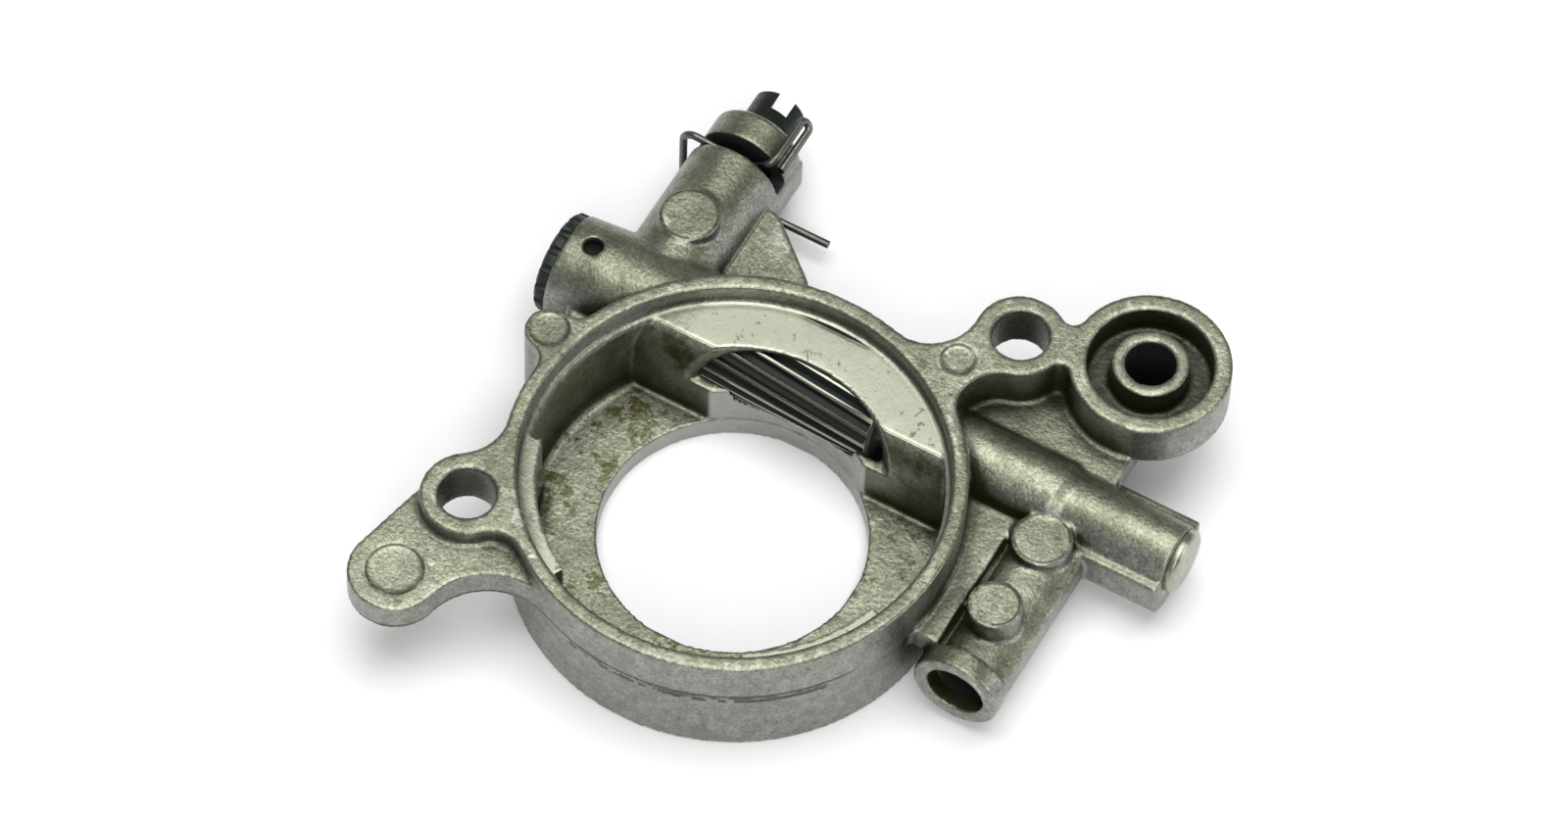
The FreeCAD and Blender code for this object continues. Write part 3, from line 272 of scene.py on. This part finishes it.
def both(tree, *values):
    """Product of the masks or values."""
    result = values[0]
    for value in values[1:]:
        result = calc(tree, "MULTIPLY", result, value)
    return result


def most(tree, *masks):
    """Largest of the masks."""
    result = masks[0]
    for mask in masks[1:]:
        result = calc(tree, "MAXIMUM", result, mask)
    return result


def opposite(tree, mask):
    """One where the mask is zero."""
    return calc(tree, "SUBTRACT", 1.0, mask)


def ramp(tree, value, low, high, start=0.0, end=1.0):
    """Smooth step of a value between low and high."""
    node = add_node(tree, "ShaderNodeMapRange", interpolation_type="SMOOTHSTEP")
    for socket, item in zip(node.inputs, (value, low, high, start, end)):
        feed(tree, item, socket)
    return node.outputs[0]


def along(tree, coordinate, low, high, start=0.0, end=1.0):
    """Smooth step of a coordinate between two places in millimetres."""
    return ramp(tree, coordinate, low * MM, high * MM, start, end)


def off_axis(tree, first, second, centre):
    """Distance from the axis of a round place, as a share of its radius."""
    squares = []
    for coordinate, middle in zip((first, second), centre):
        away = calc(tree, "SUBTRACT", coordinate, middle * MM)
        squares.append(both(tree, away, away))
    distance = calc(tree, "SQRT", calc(tree, "ADD", *squares))
    return calc(tree, "DIVIDE", distance, centre[2] * MM)


def off_level(tree, coordinate, level):
    """Distance from a plane, in millimetres."""
    away = calc(tree, "ABSOLUTE", calc(tree, "SUBTRACT", coordinate, level * MM))
    return calc(tree, "DIVIDE", away, MM)


def between(tree, coordinate, ends):
    """Mask of the places between two planes."""
    middle = 0.5 * (ends[0] + ends[1])
    reach = 0.5 * (ends[1] - ends[0])
    return ramp(tree, off_level(tree, coordinate, middle), reach, reach - 0.4)


def split(tree, vector):
    """The three parts of a vector."""
    node = add_node(tree, "ShaderNodeSeparateXYZ")
    tree.links.new(vector, node.inputs[0])
    return node.outputs


def blend_colour(tree, share, first, second, mode="MIX"):
    """Mix of two colours, by the share of the second."""
    node = add_node(tree, "ShaderNodeMix", data_type="RGBA", blend_type=mode)
    colours = [socket for socket in node.inputs if socket.type == "RGBA"]
    for socket, item in zip([node.inputs["Factor"]] + colours, (share, first, second)):
        feed(tree, item, socket)
    return next(socket for socket in node.outputs if socket.type == "RGBA")


def as_grey(tree, value):
    """Grey colour of a value, which may pass one."""
    node = add_node(tree, "ShaderNodeCombineXYZ")
    for socket in node.inputs:
        tree.links.new(value, socket)
    return node.outputs[0]


def rgba(tone, share=1.0):
    """Colour with alpha, from a share of a tone."""
    return (share * tone[0], share * tone[1], share * tone[2], 1.0)


def noise(tree, vector, scale, detail=3.0, rough=0.55):
    node = add_node(tree, "ShaderNodeTexNoise")
    feed(tree, vector, node.inputs["Vector"])
    feed(tree, scale, node.inputs["Scale"])
    node.inputs["Detail"].default_value = detail
    node.inputs["Roughness"].default_value = rough
    return node.outputs[0]


def bump(tree, height, distance, strength=0.7):
    """Normal from a height, with the depth of the relief in millimetres."""
    node = add_node(tree, "ShaderNodeBump")
    node.inputs["Distance"].default_value = distance * MM
    node.inputs["Strength"].default_value = strength
    feed(tree, height, node.inputs["Height"])
    return node.outputs[0]


# Node groups

def new_group(name, inputs, outputs):
    """Empty node group: its inputs are {name: (type, default)}, its outputs are floats."""
    tree = bpy.data.node_groups.new(name, "ShaderNodeTree")
    for label, (kind, default) in inputs.items():
        socket = tree.interface.new_socket(label, in_out="INPUT", socket_type=kind)
        if default is not None:
            socket.default_value = default
    for label in outputs:
        tree.interface.new_socket(label, in_out="OUTPUT", socket_type="NodeSocketFloat")
    return tree, add_node(tree, "NodeGroupInput"), add_node(tree, "NodeGroupOutput")


def use_group(tree, group, **values):
    node = add_node(tree, "ShaderNodeGroup", node_tree=group)
    for label, value in values.items():
        feed(tree, value, node.inputs[label])
    return node.outputs


def shared_group(name, maker):
    """The named node group, built the first time it is asked for."""
    return bpy.data.node_groups.get(name) or maker(name)


def grain_group(name):
    """Sandy grain: its height, a fine tone and a broad cloud."""
    tree, ins, outs = new_group(
        name,
        {"Vector": ("NodeSocketVector", None), "Scale": ("NodeSocketFloat", SKIN_SCALE)},
        ["Height", "Tone", "Cloud"])
    vector, scale = ins.outputs["Vector"], ins.outputs["Scale"]
    fine = noise(tree, vector, scale, 4.0, 0.6)
    coarse = noise(tree, vector, both(tree, scale, 0.28))
    cloud = noise(tree, vector, both(tree, scale, 0.06), 3.0, 0.6)
    height = calc(tree, "ADD", both(tree, fine, 0.6), both(tree, coarse, 0.4))
    tree.links.new(height, outs.inputs["Height"])
    tree.links.new(ramp(tree, fine, 0.34, 0.66), outs.inputs["Tone"])
    tree.links.new(ramp(tree, cloud, 0.32, 0.68), outs.inputs["Cloud"])
    return tree


def wear_and_highlight_group(name):
    """Rubbed edges with a painted edge highlight, from how the surface bends."""
    tree, ins, outs = new_group(name, {"Vector": ("NodeSocketVector", None)}, ["Edge"])
    bend = add_node(tree, "ShaderNodeNewGeometry").outputs["Pointiness"]
    patchy = noise(tree, ins.outputs["Vector"], WEAR_SCALE)
    lift = both(tree, calc(tree, "SUBTRACT", patchy, 0.5), 0.06)
    edge = ramp(tree, calc(tree, "ADD", bend, lift), 0.56, 0.64)
    tree.links.new(edge, outs.inputs["Edge"])
    return tree


def seat_masks(tree, x, z, radius, upward):
    """The turned cover seat, and the inside of the cup below it."""
    at_seat = ramp(tree, off_level(tree, z, SEAT_LEVEL), 0.16, 0.1)
    in_cup = ramp(tree, radius, SEAT_RADIUS + 0.1, SEAT_RADIUS - 0.1)
    # Left of the seat's first place the turned finish is faded, as painted shade against the
    # lamp's reflection
    turned = both(tree, upward, at_seat, in_cup, along(tree, x, *SEAT_PAINTED_DIMMING, 0.45, 1.0))
    below = along(tree, z, SEAT_LEVEL - 0.1, SEAT_LEVEL - 0.8)
    inside = both(tree, below, ramp(tree, radius, SEAT_RADIUS, SEAT_RADIUS - 0.5))
    return turned, inside


def pit_and_step_shade_mask(tree, vector, x, y, z, radius):
    """Parting step on the cup's front, its shadow painted as a dark line, with the pits under
    it.
    """
    outside = ramp(tree, radius, RING_RADIUS - 2.0, RING_RADIUS - 1.6)
    front = both(tree, outside, along(tree, y, *FRONT_EDGE))
    spots = ramp(tree, noise(tree, vector, PIT_SCALE), 0.45, 0.48)
    band = ramp(tree, off_level(tree, z, PARTING_LEVEL - 0.65), 0.9, 0.7)
    # Painted shadow: a dark line along the parting step
    line = ramp(tree, off_level(tree, z, PARTING_LEVEL - 0.05), 0.2, 0.08)
    pits = both(tree, band, spots, between(tree, x, PIT_ENDS))
    return both(tree, front, most(tree, pits, line))


def ring_mask(tree, vector, x, y, upward):
    """Broken outlines of the ejector pins' marks."""
    rings = []
    for mark in EJECTOR_MARKS:
        away = calc(tree, "SUBTRACT", off_axis(tree, x, y, mark), 1.0)
        rings.append(ramp(tree, both(tree, calc(tree, "ABSOLUTE", away), mark[2]), 0.2, 0.07))
    broken = ramp(tree, noise(tree, vector, BROKEN_RING_SCALE), 0.42, 0.54, 0.3, 1.0)
    return both(tree, most(tree, *rings), upward, broken)


def shade_black_mask(tree, x, y, z, radius):
    """Insides of the holes, of the wire's slot and of the gap beside the barrel, painted black
    as shade.
    """
    slot_middle, slot_reach = WIRE_SLOT
    in_slot = both(
        tree,
        ramp(tree, off_level(tree, y, slot_middle), slot_reach + 0.12, slot_reach + 0.04),
        ramp(tree, off_axis(tree, x, z, ADJUSTER), 1.0, 0.94))
    in_inlet = both(
        tree, ramp(tree, off_axis(tree, x, z, INLET_BORE), 1.05, 1.01),
        between(tree, y, INLET_ENDS))
    in_outlet = both(
        tree, ramp(tree, off_axis(tree, x, y, OUTLET), 1.06, 1.0),
        along(tree, z, TOP_LEVEL - 0.2, TOP_LEVEL - 1.1))
    in_bore = both(
        tree, ramp(tree, off_axis(tree, y, z, PLUNGER_BORE), 1.03, 0.98),
        between(tree, x, BORE_ENDS))
    in_gap = both(
        tree, along(tree, y, GAP_EDGE - 0.06, GAP_EDGE + 0.02),
        ramp(tree, radius, GAP_RADIUS + 0.1, GAP_RADIUS),
        along(tree, z, SEAT_LEVEL + 0.25, SEAT_LEVEL + 0.15))
    in_pin_hole = ramp(tree, off_axis(tree, x, y, PIN_HOLE), 1.2, 1.02)
    return most(tree, in_slot, in_inlet, in_outlet, in_bore, in_pin_hole, in_gap)


def region_group(name):
    """Masks of places on the casting, from its own coordinates."""
    tree, ins, outs = new_group(
        name,
        {"Vector": ("NodeSocketVector", None), "Normal": ("NodeSocketVector", None)},
        ["Turned", "Inside", "Upward", "ShadeBlack", "Radius", "PitsAndStepShade", "Rings", "Bored", "Groove"])
    vector = ins.outputs["Vector"]
    x, y, z = split(tree, vector)
    radius = off_axis(tree, x, y, CUP_AXIS)
    upward = ramp(tree, split(tree, ins.outputs["Normal"])[2], 0.6, 0.85)
    turned, inside = seat_masks(tree, x, z, radius, upward)
    bored = both(
        tree, opposite(tree, upward), ramp(tree, off_axis(tree, x, y, CRANK_HOLE), 1.0, 0.985))
    groove = both(
        tree, ramp(tree, off_axis(tree, x, y, SEAL_GROOVE), 1.0, 0.97),
        along(tree, z, TOP_LEVEL - 1.4, TOP_LEVEL - 2.3), upward)
    masks = {
        "Turned": turned,
        "Inside": inside,
        "Upward": upward,
        "ShadeBlack": shade_black_mask(tree, x, y, z, radius),
        "Radius": radius,
        "PitsAndStepShade": pit_and_step_shade_mask(tree, vector, x, y, z, radius),
        "Rings": ring_mask(tree, vector, x, y, upward),
        "Bored": bored,
        "Groove": groove,
    }
    for label, mask in masks.items():
        tree.links.new(mask, outs.inputs[label])
    return tree


# Materials

def material_base(name, metallic=0.0, roughness=0.5):
    """New material with its tree, shader and object coordinates."""
    material = bpy.data.materials.new(name)
    material.use_nodes = True
    tree = material.node_tree
    tree.nodes.clear()
    shader = add_node(tree, "ShaderNodeBsdfPrincipled")
    output = add_node(tree, "ShaderNodeOutputMaterial")
    tree.links.new(shader.outputs[0], output.inputs[0])
    shader.inputs["Metallic"].default_value = metallic
    shader.inputs["Specular IOR Level"].default_value = 0.35
    shader.inputs["Roughness"].default_value = roughness
    coordinates = add_node(tree, "ShaderNodeTexCoord")
    return material, tree, shader, coordinates


def shade_within(tree, reach):
    """How open a place is, for shade from this piece within a reach in millimetres."""
    node = add_node(tree, "ShaderNodeAmbientOcclusion", samples=8, only_local=True)
    node.inputs["Distance"].default_value = reach * MM
    return node.outputs["AO"]


def bare_casting(tree, finish, vector, texture, region, edge):
    """Colour of the casting before its film of painted shade and oil and its stains, with sides
    in a painted tone, rubbed edges with a painted edge highlight, and its turning marks.
    """
    turned = region["Turned"]
    skin = blend_colour(
        tree, texture["Cloud"], rgba(finish.cast_dark), rgba(finish.cast_light))
    # Painted light: the upright outer sides take their own tone
    side = both(tree, opposite(tree, region["Upward"]), opposite(tree, region["Inside"]), 0.8)
    skin = blend_colour(tree, side, skin, rgba(finish.side_tone_painted_light))
    for scale, detail, rough, spread in (
            (GRIT_SCALE, 2.0, 0.7, 0.22), (MOTTLE_SCALE, 4.0, 0.6, 0.14)):
        spots = noise(tree, vector, scale, detail, rough)
        tone = ramp(tree, spots, 0.36, 0.64, 1.0 - spread, 1.0 + spread)
        skin = blend_colour(tree, 1.0, skin, as_grey(tree, tone), "MULTIPLY")
    lines = add_node(tree, "ShaderNodeCombineXYZ")
    tree.links.new(region["Radius"], lines.inputs[0])
    marks = noise(tree, lines.outputs[0], 4.0, 6.0, 0.8)
    lathe = blend_colour(
        tree, ramp(tree, marks, 0.35, 0.65), rgba(finish.turned, 0.9), rgba(finish.turned))
    skin = blend_colour(tree, both(tree, turned, 0.85), skin, lathe)
    skin = blend_colour(tree, both(tree, region["Bored"], 0.7), skin, rgba(finish.bored))
    # Rubbed edges: real wear with a painted edge highlight, less on the turned faces
    chips = ramp(tree, noise(tree, vector, CHIP_SCALE), 0.4, 0.58)
    rubbed_and_highlight = both(
        tree, edge, ramp(tree, turned, 0.0, 0.5, 1.0, 0.35),
        calc(tree, "ADD", 0.15, both(tree, chips, 0.45)))
    return blend_colour(tree, rubbed_and_highlight, skin, rgba(finish.rubbed)), marks


def stain_mask(tree, vector, region, cavity, specks):
    """Brown stains: most of them inside the cup, near its wall and in cavities."""
    inside = region["Inside"]
    blotch = ramp(tree, noise(tree, vector, BLOTCH_SCALE, 8.0, 0.75), 0.54, 0.58)
    fine = ramp(tree, noise(tree, vector, FINE_STAIN_SCALE, 6.0, 0.7), 0.56, 0.61)
    by_wall = both(tree, inside, ramp(tree, region["Radius"], 14.5, 18.5))
    near = both(tree, fine, calc(tree, "ADD", 0.25, by_wall, clamp=True))
    place = most(tree, both(tree, inside, 0.6), both(tree, cavity, 1.5))
    soiled = calc(tree, "ADD", 0.12, place, clamp=True)
    patches = both(tree, most(tree, blotch, near), soiled)
    return calc(tree, "ADD", patches, both(tree, specks, 0.5), clamp=True)


def shade_and_oil_mask(tree, vector, texture, region, corner_shade, cavity, clean, specks):
    """Near-black film: painted shade in corners, cavities and on the cup's inner walls, with
    some old oil; and dark scratches, specks, pits, ejector-pin marks and the parting step's
    painted shadow.
    """
    turned, inside, upward = region["Turned"], region["Inside"], region["Upward"]
    on_wall = both(tree, inside, opposite(tree, upward), 0.65)
    hidden = both(tree, cavity, opposite(tree, both(tree, inside, upward, 0.8)))
    reach = calc(tree, "ADD", most(tree, corner_shade, hidden), on_wall)
    uneven = both(tree, calc(tree, "SUBTRACT", texture["Cloud"], 0.5), 0.25)
    shade_and_oil = both(tree, ramp(tree, calc(tree, "ADD", reach, uneven), 0.25, 0.85), clean)
    shade_and_oil = both(tree, shade_and_oil, opposite(tree, both(tree, region["Groove"], 0.1)))
    cells = add_node(tree, "ShaderNodeTexVoronoi", feature="DISTANCE_TO_EDGE")
    tree.links.new(vector, cells.inputs["Vector"])
    cells.inputs["Scale"].default_value = SCRATCH_SCALE
    broken = noise(tree, vector, BROKEN_SCRATCH_SCALE, 2.0)
    scratch = both(
        tree, ramp(tree, cells.outputs["Distance"], 0.02, 0.008),
        ramp(tree, broken, 0.56, 0.6))
    marked = most(tree, both(tree, region["PitsAndStepShade"], 0.95), both(tree, region["Rings"], 0.8))
    return most(tree, shade_and_oil, both(tree, most(tree, scratch, specks), turned, 0.55), marked)


def cast_aluminium(finish, grain, wear, places):
    """As-cast skin with turned faces, rubbed edges with a painted edge highlight, sides in a
    painted tone, a film of painted shade and old oil, and holes painted black as shade.
    """
    material, tree, shader, coordinates = material_base("cast_aluminium")
    vector = coordinates.outputs["Object"]
    texture = use_group(tree, grain, Vector=vector, Scale=SKIN_SCALE)
    region = use_group(tree, places, Vector=vector, Normal=coordinates.outputs["Normal"])
    edge = use_group(tree, wear, Vector=vector)["Edge"]
    turned, shade_black = region["Turned"], region["ShadeBlack"]
    # Shade from ambient occlusion: in fillets and cavities it places painted shade, and in
    # hollows the stains
    corner_shade = ramp(tree, shade_within(tree, FILLET_REACH), 0.9, 0.55)
    cavity = ramp(tree, shade_within(tree, CAVITY_REACH), 0.72, 0.38)
    clean = opposite(tree, both(tree, most(tree, turned, region["Bored"]), 0.85))
    specks = ramp(tree, noise(tree, vector, SPECK_SCALE, 4.0, 0.65), 0.62, 0.66)
    skin, marks = bare_casting(tree, finish, vector, texture, region, edge)
    stain = stain_mask(tree, vector, region, cavity, specks)
    shade_and_oil = shade_and_oil_mask(tree, vector, texture, region, corner_shade, cavity, clean, specks)
    skin = blend_colour(tree, both(tree, stain, clean), skin, rgba(finish.stain))
    # Painted shade and old oil: the near-black film over the skin
    skin = blend_colour(tree, shade_and_oil, skin, rgba(finish.oil))
    # Painted shade: holes, the wire's slot and the gap beside the barrel are painted black
    skin = blend_colour(tree, shade_black, skin, rgba(finish.black))
    tree.links.new(skin, shader.inputs["Base Color"])
    metal = calc(tree, "SUBTRACT", 0.88, both(tree, most(tree, shade_and_oil, shade_black), 0.75))
    tree.links.new(metal, shader.inputs["Metallic"])
    dull = calc(tree, "SUBTRACT", 0.31, both(tree, shade_and_oil, 0.08))
    dull = calc(tree, "ADD", dull, both(tree, texture["Tone"], 0.1))
    dull = calc(tree, "ADD", dull, both(tree, shade_black, 0.5))
    tree.links.new(dull, shader.inputs["Roughness"])
    # Sandy skin, turning marks and pits
    sandy = opposite(tree, both(tree, most(tree, turned, shade_black), 0.85))
    relief = both(tree, texture["Height"], sandy)
    relief = calc(tree, "ADD", relief, both(tree, marks, turned, 0.06))
    relief = calc(tree, "SUBTRACT", relief, both(tree, region["PitsAndStepShade"], 0.4))
    tree.links.new(bump(tree, relief, 0.1, 1.0), shader.inputs["Normal"])
    return material


def plunger_steel(finish, grain):
    """Ground tooth tips over gaps painted near-black as shade and oil."""
    material, tree, shader, coordinates = material_base("plunger_steel")
    vector = coordinates.outputs["Object"]
    mapping = add_node(tree, "ShaderNodeMapping")
    tree.links.new(vector, mapping.inputs["Vector"])
    mapping.inputs["Scale"].default_value = (0.08, 1.0, 1.0)
    streaks = use_group(tree, grain, Vector=mapping.outputs[0], Scale=2500.0)
    x, y, z = split(tree, vector)
    middle, reach = TOOTHED_PART
    toothed = ramp(tree, off_level(tree, x, middle), reach, reach - 0.4)
    tip = ramp(tree, off_axis(tree, y, z, PLUNGER_BORE), 0.972, 0.984)
    gap = both(tree, toothed, opposite(tree, tip))
    skin = blend_colour(tree, streaks["Cloud"], rgba(finish.steel, 0.5), rgba(finish.steel))
    # Painted shade: the gaps between the teeth are black
    skin = blend_colour(tree, gap, skin, rgba(finish.black))
    tree.links.new(skin, shader.inputs["Base Color"])
    tree.links.new(calc(tree, "ADD", 0.25, both(tree, gap, 0.3)), shader.inputs["Roughness"])
    tree.links.new(calc(tree, "SUBTRACT", 0.9, both(tree, gap, 0.8)), shader.inputs["Metallic"])
    tree.links.new(bump(tree, streaks["Height"], 0.01), shader.inputs["Normal"])
    return material


def plain_metal(name, tone, roughness, grain, scale):
    """Worked metal with a faint grain."""
    material, tree, shader, coordinates = material_base(name, metallic=1.0)
    texture = use_group(tree, grain, Vector=coordinates.outputs["Object"], Scale=scale)
    dark = rgba(tone, 0.55)
    skin = blend_colour(tree, texture["Cloud"], dark, rgba(tone))
    skin = blend_colour(tree, both(tree, texture["Tone"], 0.3), skin, dark)
    tree.links.new(skin, shader.inputs["Base Color"])
    spread = both(tree, calc(tree, "SUBTRACT", texture["Tone"], 0.5), 0.15)
    tree.links.new(calc(tree, "ADD", roughness, spread), shader.inputs["Roughness"])
    tree.links.new(bump(tree, texture["Height"], 0.01), shader.inputs["Normal"])
    return material


def black_fitting(name, tone, roughness, metallic, grain):
    """Black part with an oily sheen."""
    material, tree, shader, coordinates = material_base(name, metallic)
    texture = use_group(tree, grain, Vector=coordinates.outputs["Object"], Scale=1400.0)
    pale = [0.006 + 1.6 * part for part in tone]
    skin = blend_colour(tree, both(tree, texture["Cloud"], 0.6), rgba(tone), rgba(pale))
    tree.links.new(skin, shader.inputs["Base Color"])
    spread = both(tree, texture["Tone"], 0.18)
    tree.links.new(calc(tree, "ADD", roughness, spread), shader.inputs["Roughness"])
    tree.links.new(bump(tree, texture["Height"], 0.02), shader.inputs["Normal"])
    return material


def floor_paper(tone):
    """Matt floor with a faint cloud."""
    material, tree, shader, coordinates = material_base("floor_paper", roughness=0.7)
    cloud = noise(tree, coordinates.outputs["Object"], 3.0)
    skin = blend_colour(tree, cloud, rgba(tone, 0.98), rgba(tone))
    tree.links.new(skin, shader.inputs["Base Color"])
    return material


# Operators

class PUMP_OT_stage(bpy.types.Operator):
    """Pale floor, soft studio light and the camera"""
    bl_idname = "pump.stage"
    bl_label = "Studio"

    def execute(self, context):
        studio = context.scene.pump_studio
        level = CAD_BOX[0][2] - 0.02 * MM
        bpy.ops.object.select_all(action="DESELECT")
        bpy.ops.mesh.primitive_plane_add(size=studio.floor_size, location=(0, 0, level))
        floor = context.object
        floor.name = "floor"
        bpy.ops.object.transform_apply(location=True, rotation=True, scale=True)
        give_material(floor, floor_paper(studio.floor))
        for name, place, side, share in LIGHTS:
            bpy.ops.object.light_add(type="AREA", location=place)
            light = context.object
            light.name = name
            light.data.size = side
            light.data.energy = studio.key_power * share
            aim = Vector(LIGHT_AIM) - Vector(place)
            light.rotation_euler = aim.to_track_quat("-Z", "Y").to_euler()
        sky = bpy.data.worlds.new("studio_sky")
        sky.use_nodes = True
        background = sky.node_tree.nodes["Background"]
        background.inputs["Color"].default_value = (1.0, 1.0, 1.0, 1.0)
        background.inputs["Strength"].default_value = studio.sky_strength
        context.scene.world = sky
        bpy.ops.object.camera_add()
        camera = context.object
        camera.name = "camera"
        turn = Matrix((CAMERA_RIGHT, CAMERA_UP, CAMERA_BACK)).transposed().to_4x4()
        camera.matrix_world = Matrix.Translation(Vector(CAMERA_PLACE) * MM) @ turn
        camera.data.lens = studio.lens
        camera.data.sensor_width = 36.0
        camera.data.clip_start = 0.05
        camera.data.clip_end = 20.0
        context.scene.camera = camera
        context.scene.view_settings.view_transform = "Standard"
        return {"FINISHED"}


class PUMP_OT_casting(bpy.types.Operator):
    """Soft-edged die casting in place of the plain solid"""
    bl_idname = "pump.casting"
    bl_label = "Casting"

    def execute(self, context):
        finish = context.scene.pump_finish
        casting = copy_node(context, "pump_housing", "pump_casting")
        # The two wide stretches of the cover seat are a little narrower than in the solid
        radius, new_radius = WIDE_SEAT
        found = False
        for vertex in casting.data.vertices:
            on_wall = abs(vertex.co.xy.length / MM - radius) < 0.05
            vertex.select = on_wall and vertex.co.z < (SEAT_LEVEL + 0.1) * MM
            found = found or vertex.select
        if not found:
            raise RuntimeError("the cover seat's wide stretches aren't where they should be")
        bpy.ops.object.mode_set(mode="EDIT")
        share = new_radius / radius
        bpy.ops.transform.resize(value=(share, share, 1.0), center_override=(0.0, 0.0, 0.0))
        bpy.ops.object.mode_set(mode="OBJECT")
        apply_modifier(
            casting, "round", "REMESH", mode="VOXEL", voxel_size=finish.cast_voxel,
            adaptivity=0.0)
        apply_modifier(casting, "soften", "SMOOTH", factor=0.5, iterations=2)
        triangles = 2 * len(casting.data.polygons)
        apply_modifier(
            casting, "thin", "DECIMATE", ratio=min(1.0, finish.cast_faces / triangles))
        select_only(casting)
        bpy.ops.object.shade_smooth()
        grain = shared_group("Grain", grain_group)
        wear = shared_group("Edge wear", wear_and_highlight_group)
        places = shared_group("Casting places", region_group)
        give_material(casting, cast_aluminium(finish, grain, wear, places))
        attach(casting, "housing")
        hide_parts("pump_housing")
        return {"FINISHED"}


class PUMP_OT_plunger(bpy.types.Operator):
    """Toothed plunger, its washers and its spring"""
    bl_idname = "pump.plunger"
    bl_label = "Plunger"

    def execute(self, context):
        finish = context.scene.pump_finish
        grain = shared_group("Grain", grain_group)
        satin = plain_metal("washer_steel", finish.steel, 0.4, grain, 2000.0)
        drawn = plain_metal("spring_steel", finish.steel, 0.35, grain, 2200.0)
        plunger = soften_node("pump_plunger", finish.edge_round / 2)
        give_material(plunger, plunger_steel(finish, grain))
        for name in ("thrust_washer", "spring_seat"):
            give_material(soften_node(name, finish.edge_round / 3), satin)
        # A copy of the return spring stands in for it, attached to the plunger's carrier
        coil = copy_node(context, "return_spring", "coil_spring")
        select_only(coil)
        bpy.ops.object.shade_smooth_by_angle(angle=SMOOTH_ANGLE)
        give_material(coil, drawn)
        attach(coil, "plunger_carrier")
        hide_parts("return_spring")
        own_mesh(coil)
        return {"FINISHED"}


class PUMP_OT_plugs(bpy.types.Operator):
    """Black end plug, its pin, and the pressed plug of the chamber"""
    bl_idname = "pump.plugs"
    bl_label = "Plugs"

    def execute(self, context):
        finish = context.scene.pump_finish
        grain = shared_group("Grain", grain_group)
        black = black_fitting("black_plug", finish.black, 0.38, 0.0, grain)
        # The pin is kept near-black so that its hole reads dark: painted shade
        pin = plain_metal("pin_steel", rgba(finish.steel, 0.06), 0.5, grain, 2000.0)
        bright = plain_metal("plug_aluminium", finish.turned, 0.34, grain, 1500.0)
        for name, material in (("end_plug", black), ("plug_pin", pin), ("chamber_plug", bright)):
            give_material(soften_node(name, finish.edge_round), material)
        return {"FINISHED"}


class PUMP_OT_adjuster(bpy.types.Operator):
    """Slotted adjuster screw, its seal and the lock spring"""
    bl_idname = "pump.adjuster"
    bl_label = "Adjuster"

    def execute(self, context):
        finish = context.scene.pump_finish
        grain = shared_group("Grain", grain_group)
        black = black_fitting("black_screw", finish.black, 0.34, 0.3, grain)
        rubber = black_fitting("seal_rubber", finish.black, 0.5, 0.0, grain)
        wire = plain_metal("lock_wire", finish.wire, 0.33, grain, 2200.0)
        give_material(soften_node("adjuster_screw", finish.edge_round), black)
        give_material(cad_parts["adjuster_o_ring"], rubber)
        give_material(soften_node("lock_spring", finish.edge_round), wire)
        return {"FINISHED"}


class PUMP_PT_panel(bpy.types.Panel):
    """Lists the steps that dress the pump, and their settings"""
    bl_label = "Oil Pump"
    bl_idname = "PUMP_PT_panel"
    bl_space_type = "VIEW_3D"
    bl_region_type = "UI"
    bl_category = "Oil Pump"

    def draw(self, context):
        layout = self.layout
        for operator in OPERATORS:
            layout.operator(operator.bl_idname)
        for group in (context.scene.pump_finish, context.scene.pump_studio):
            for key in group.__annotations__:
                layout.prop(group, key)


OPERATORS = (PUMP_OT_stage, PUMP_OT_casting, PUMP_OT_plunger, PUMP_OT_plugs, PUMP_OT_adjuster)
CLASSES = (PumpFinish, PumpStudio) + OPERATORS + (PUMP_PT_panel,)


def register():
    for item in CLASSES:
        bpy.utils.register_class(item)
    bpy.types.Scene.pump_finish = PointerProperty(type=PumpFinish)
    bpy.types.Scene.pump_studio = PointerProperty(type=PumpStudio)


def unregister():
    del bpy.types.Scene.pump_studio
    del bpy.types.Scene.pump_finish
    for item in reversed(CLASSES):
        bpy.utils.unregister_class(item)


def main():
    register()
    bpy.ops.pump.stage()
    bpy.ops.pump.casting()
    bpy.ops.pump.plunger()
    bpy.ops.pump.plugs()
    bpy.ops.pump.adjuster()


if __name__ == "__main__":
    main()
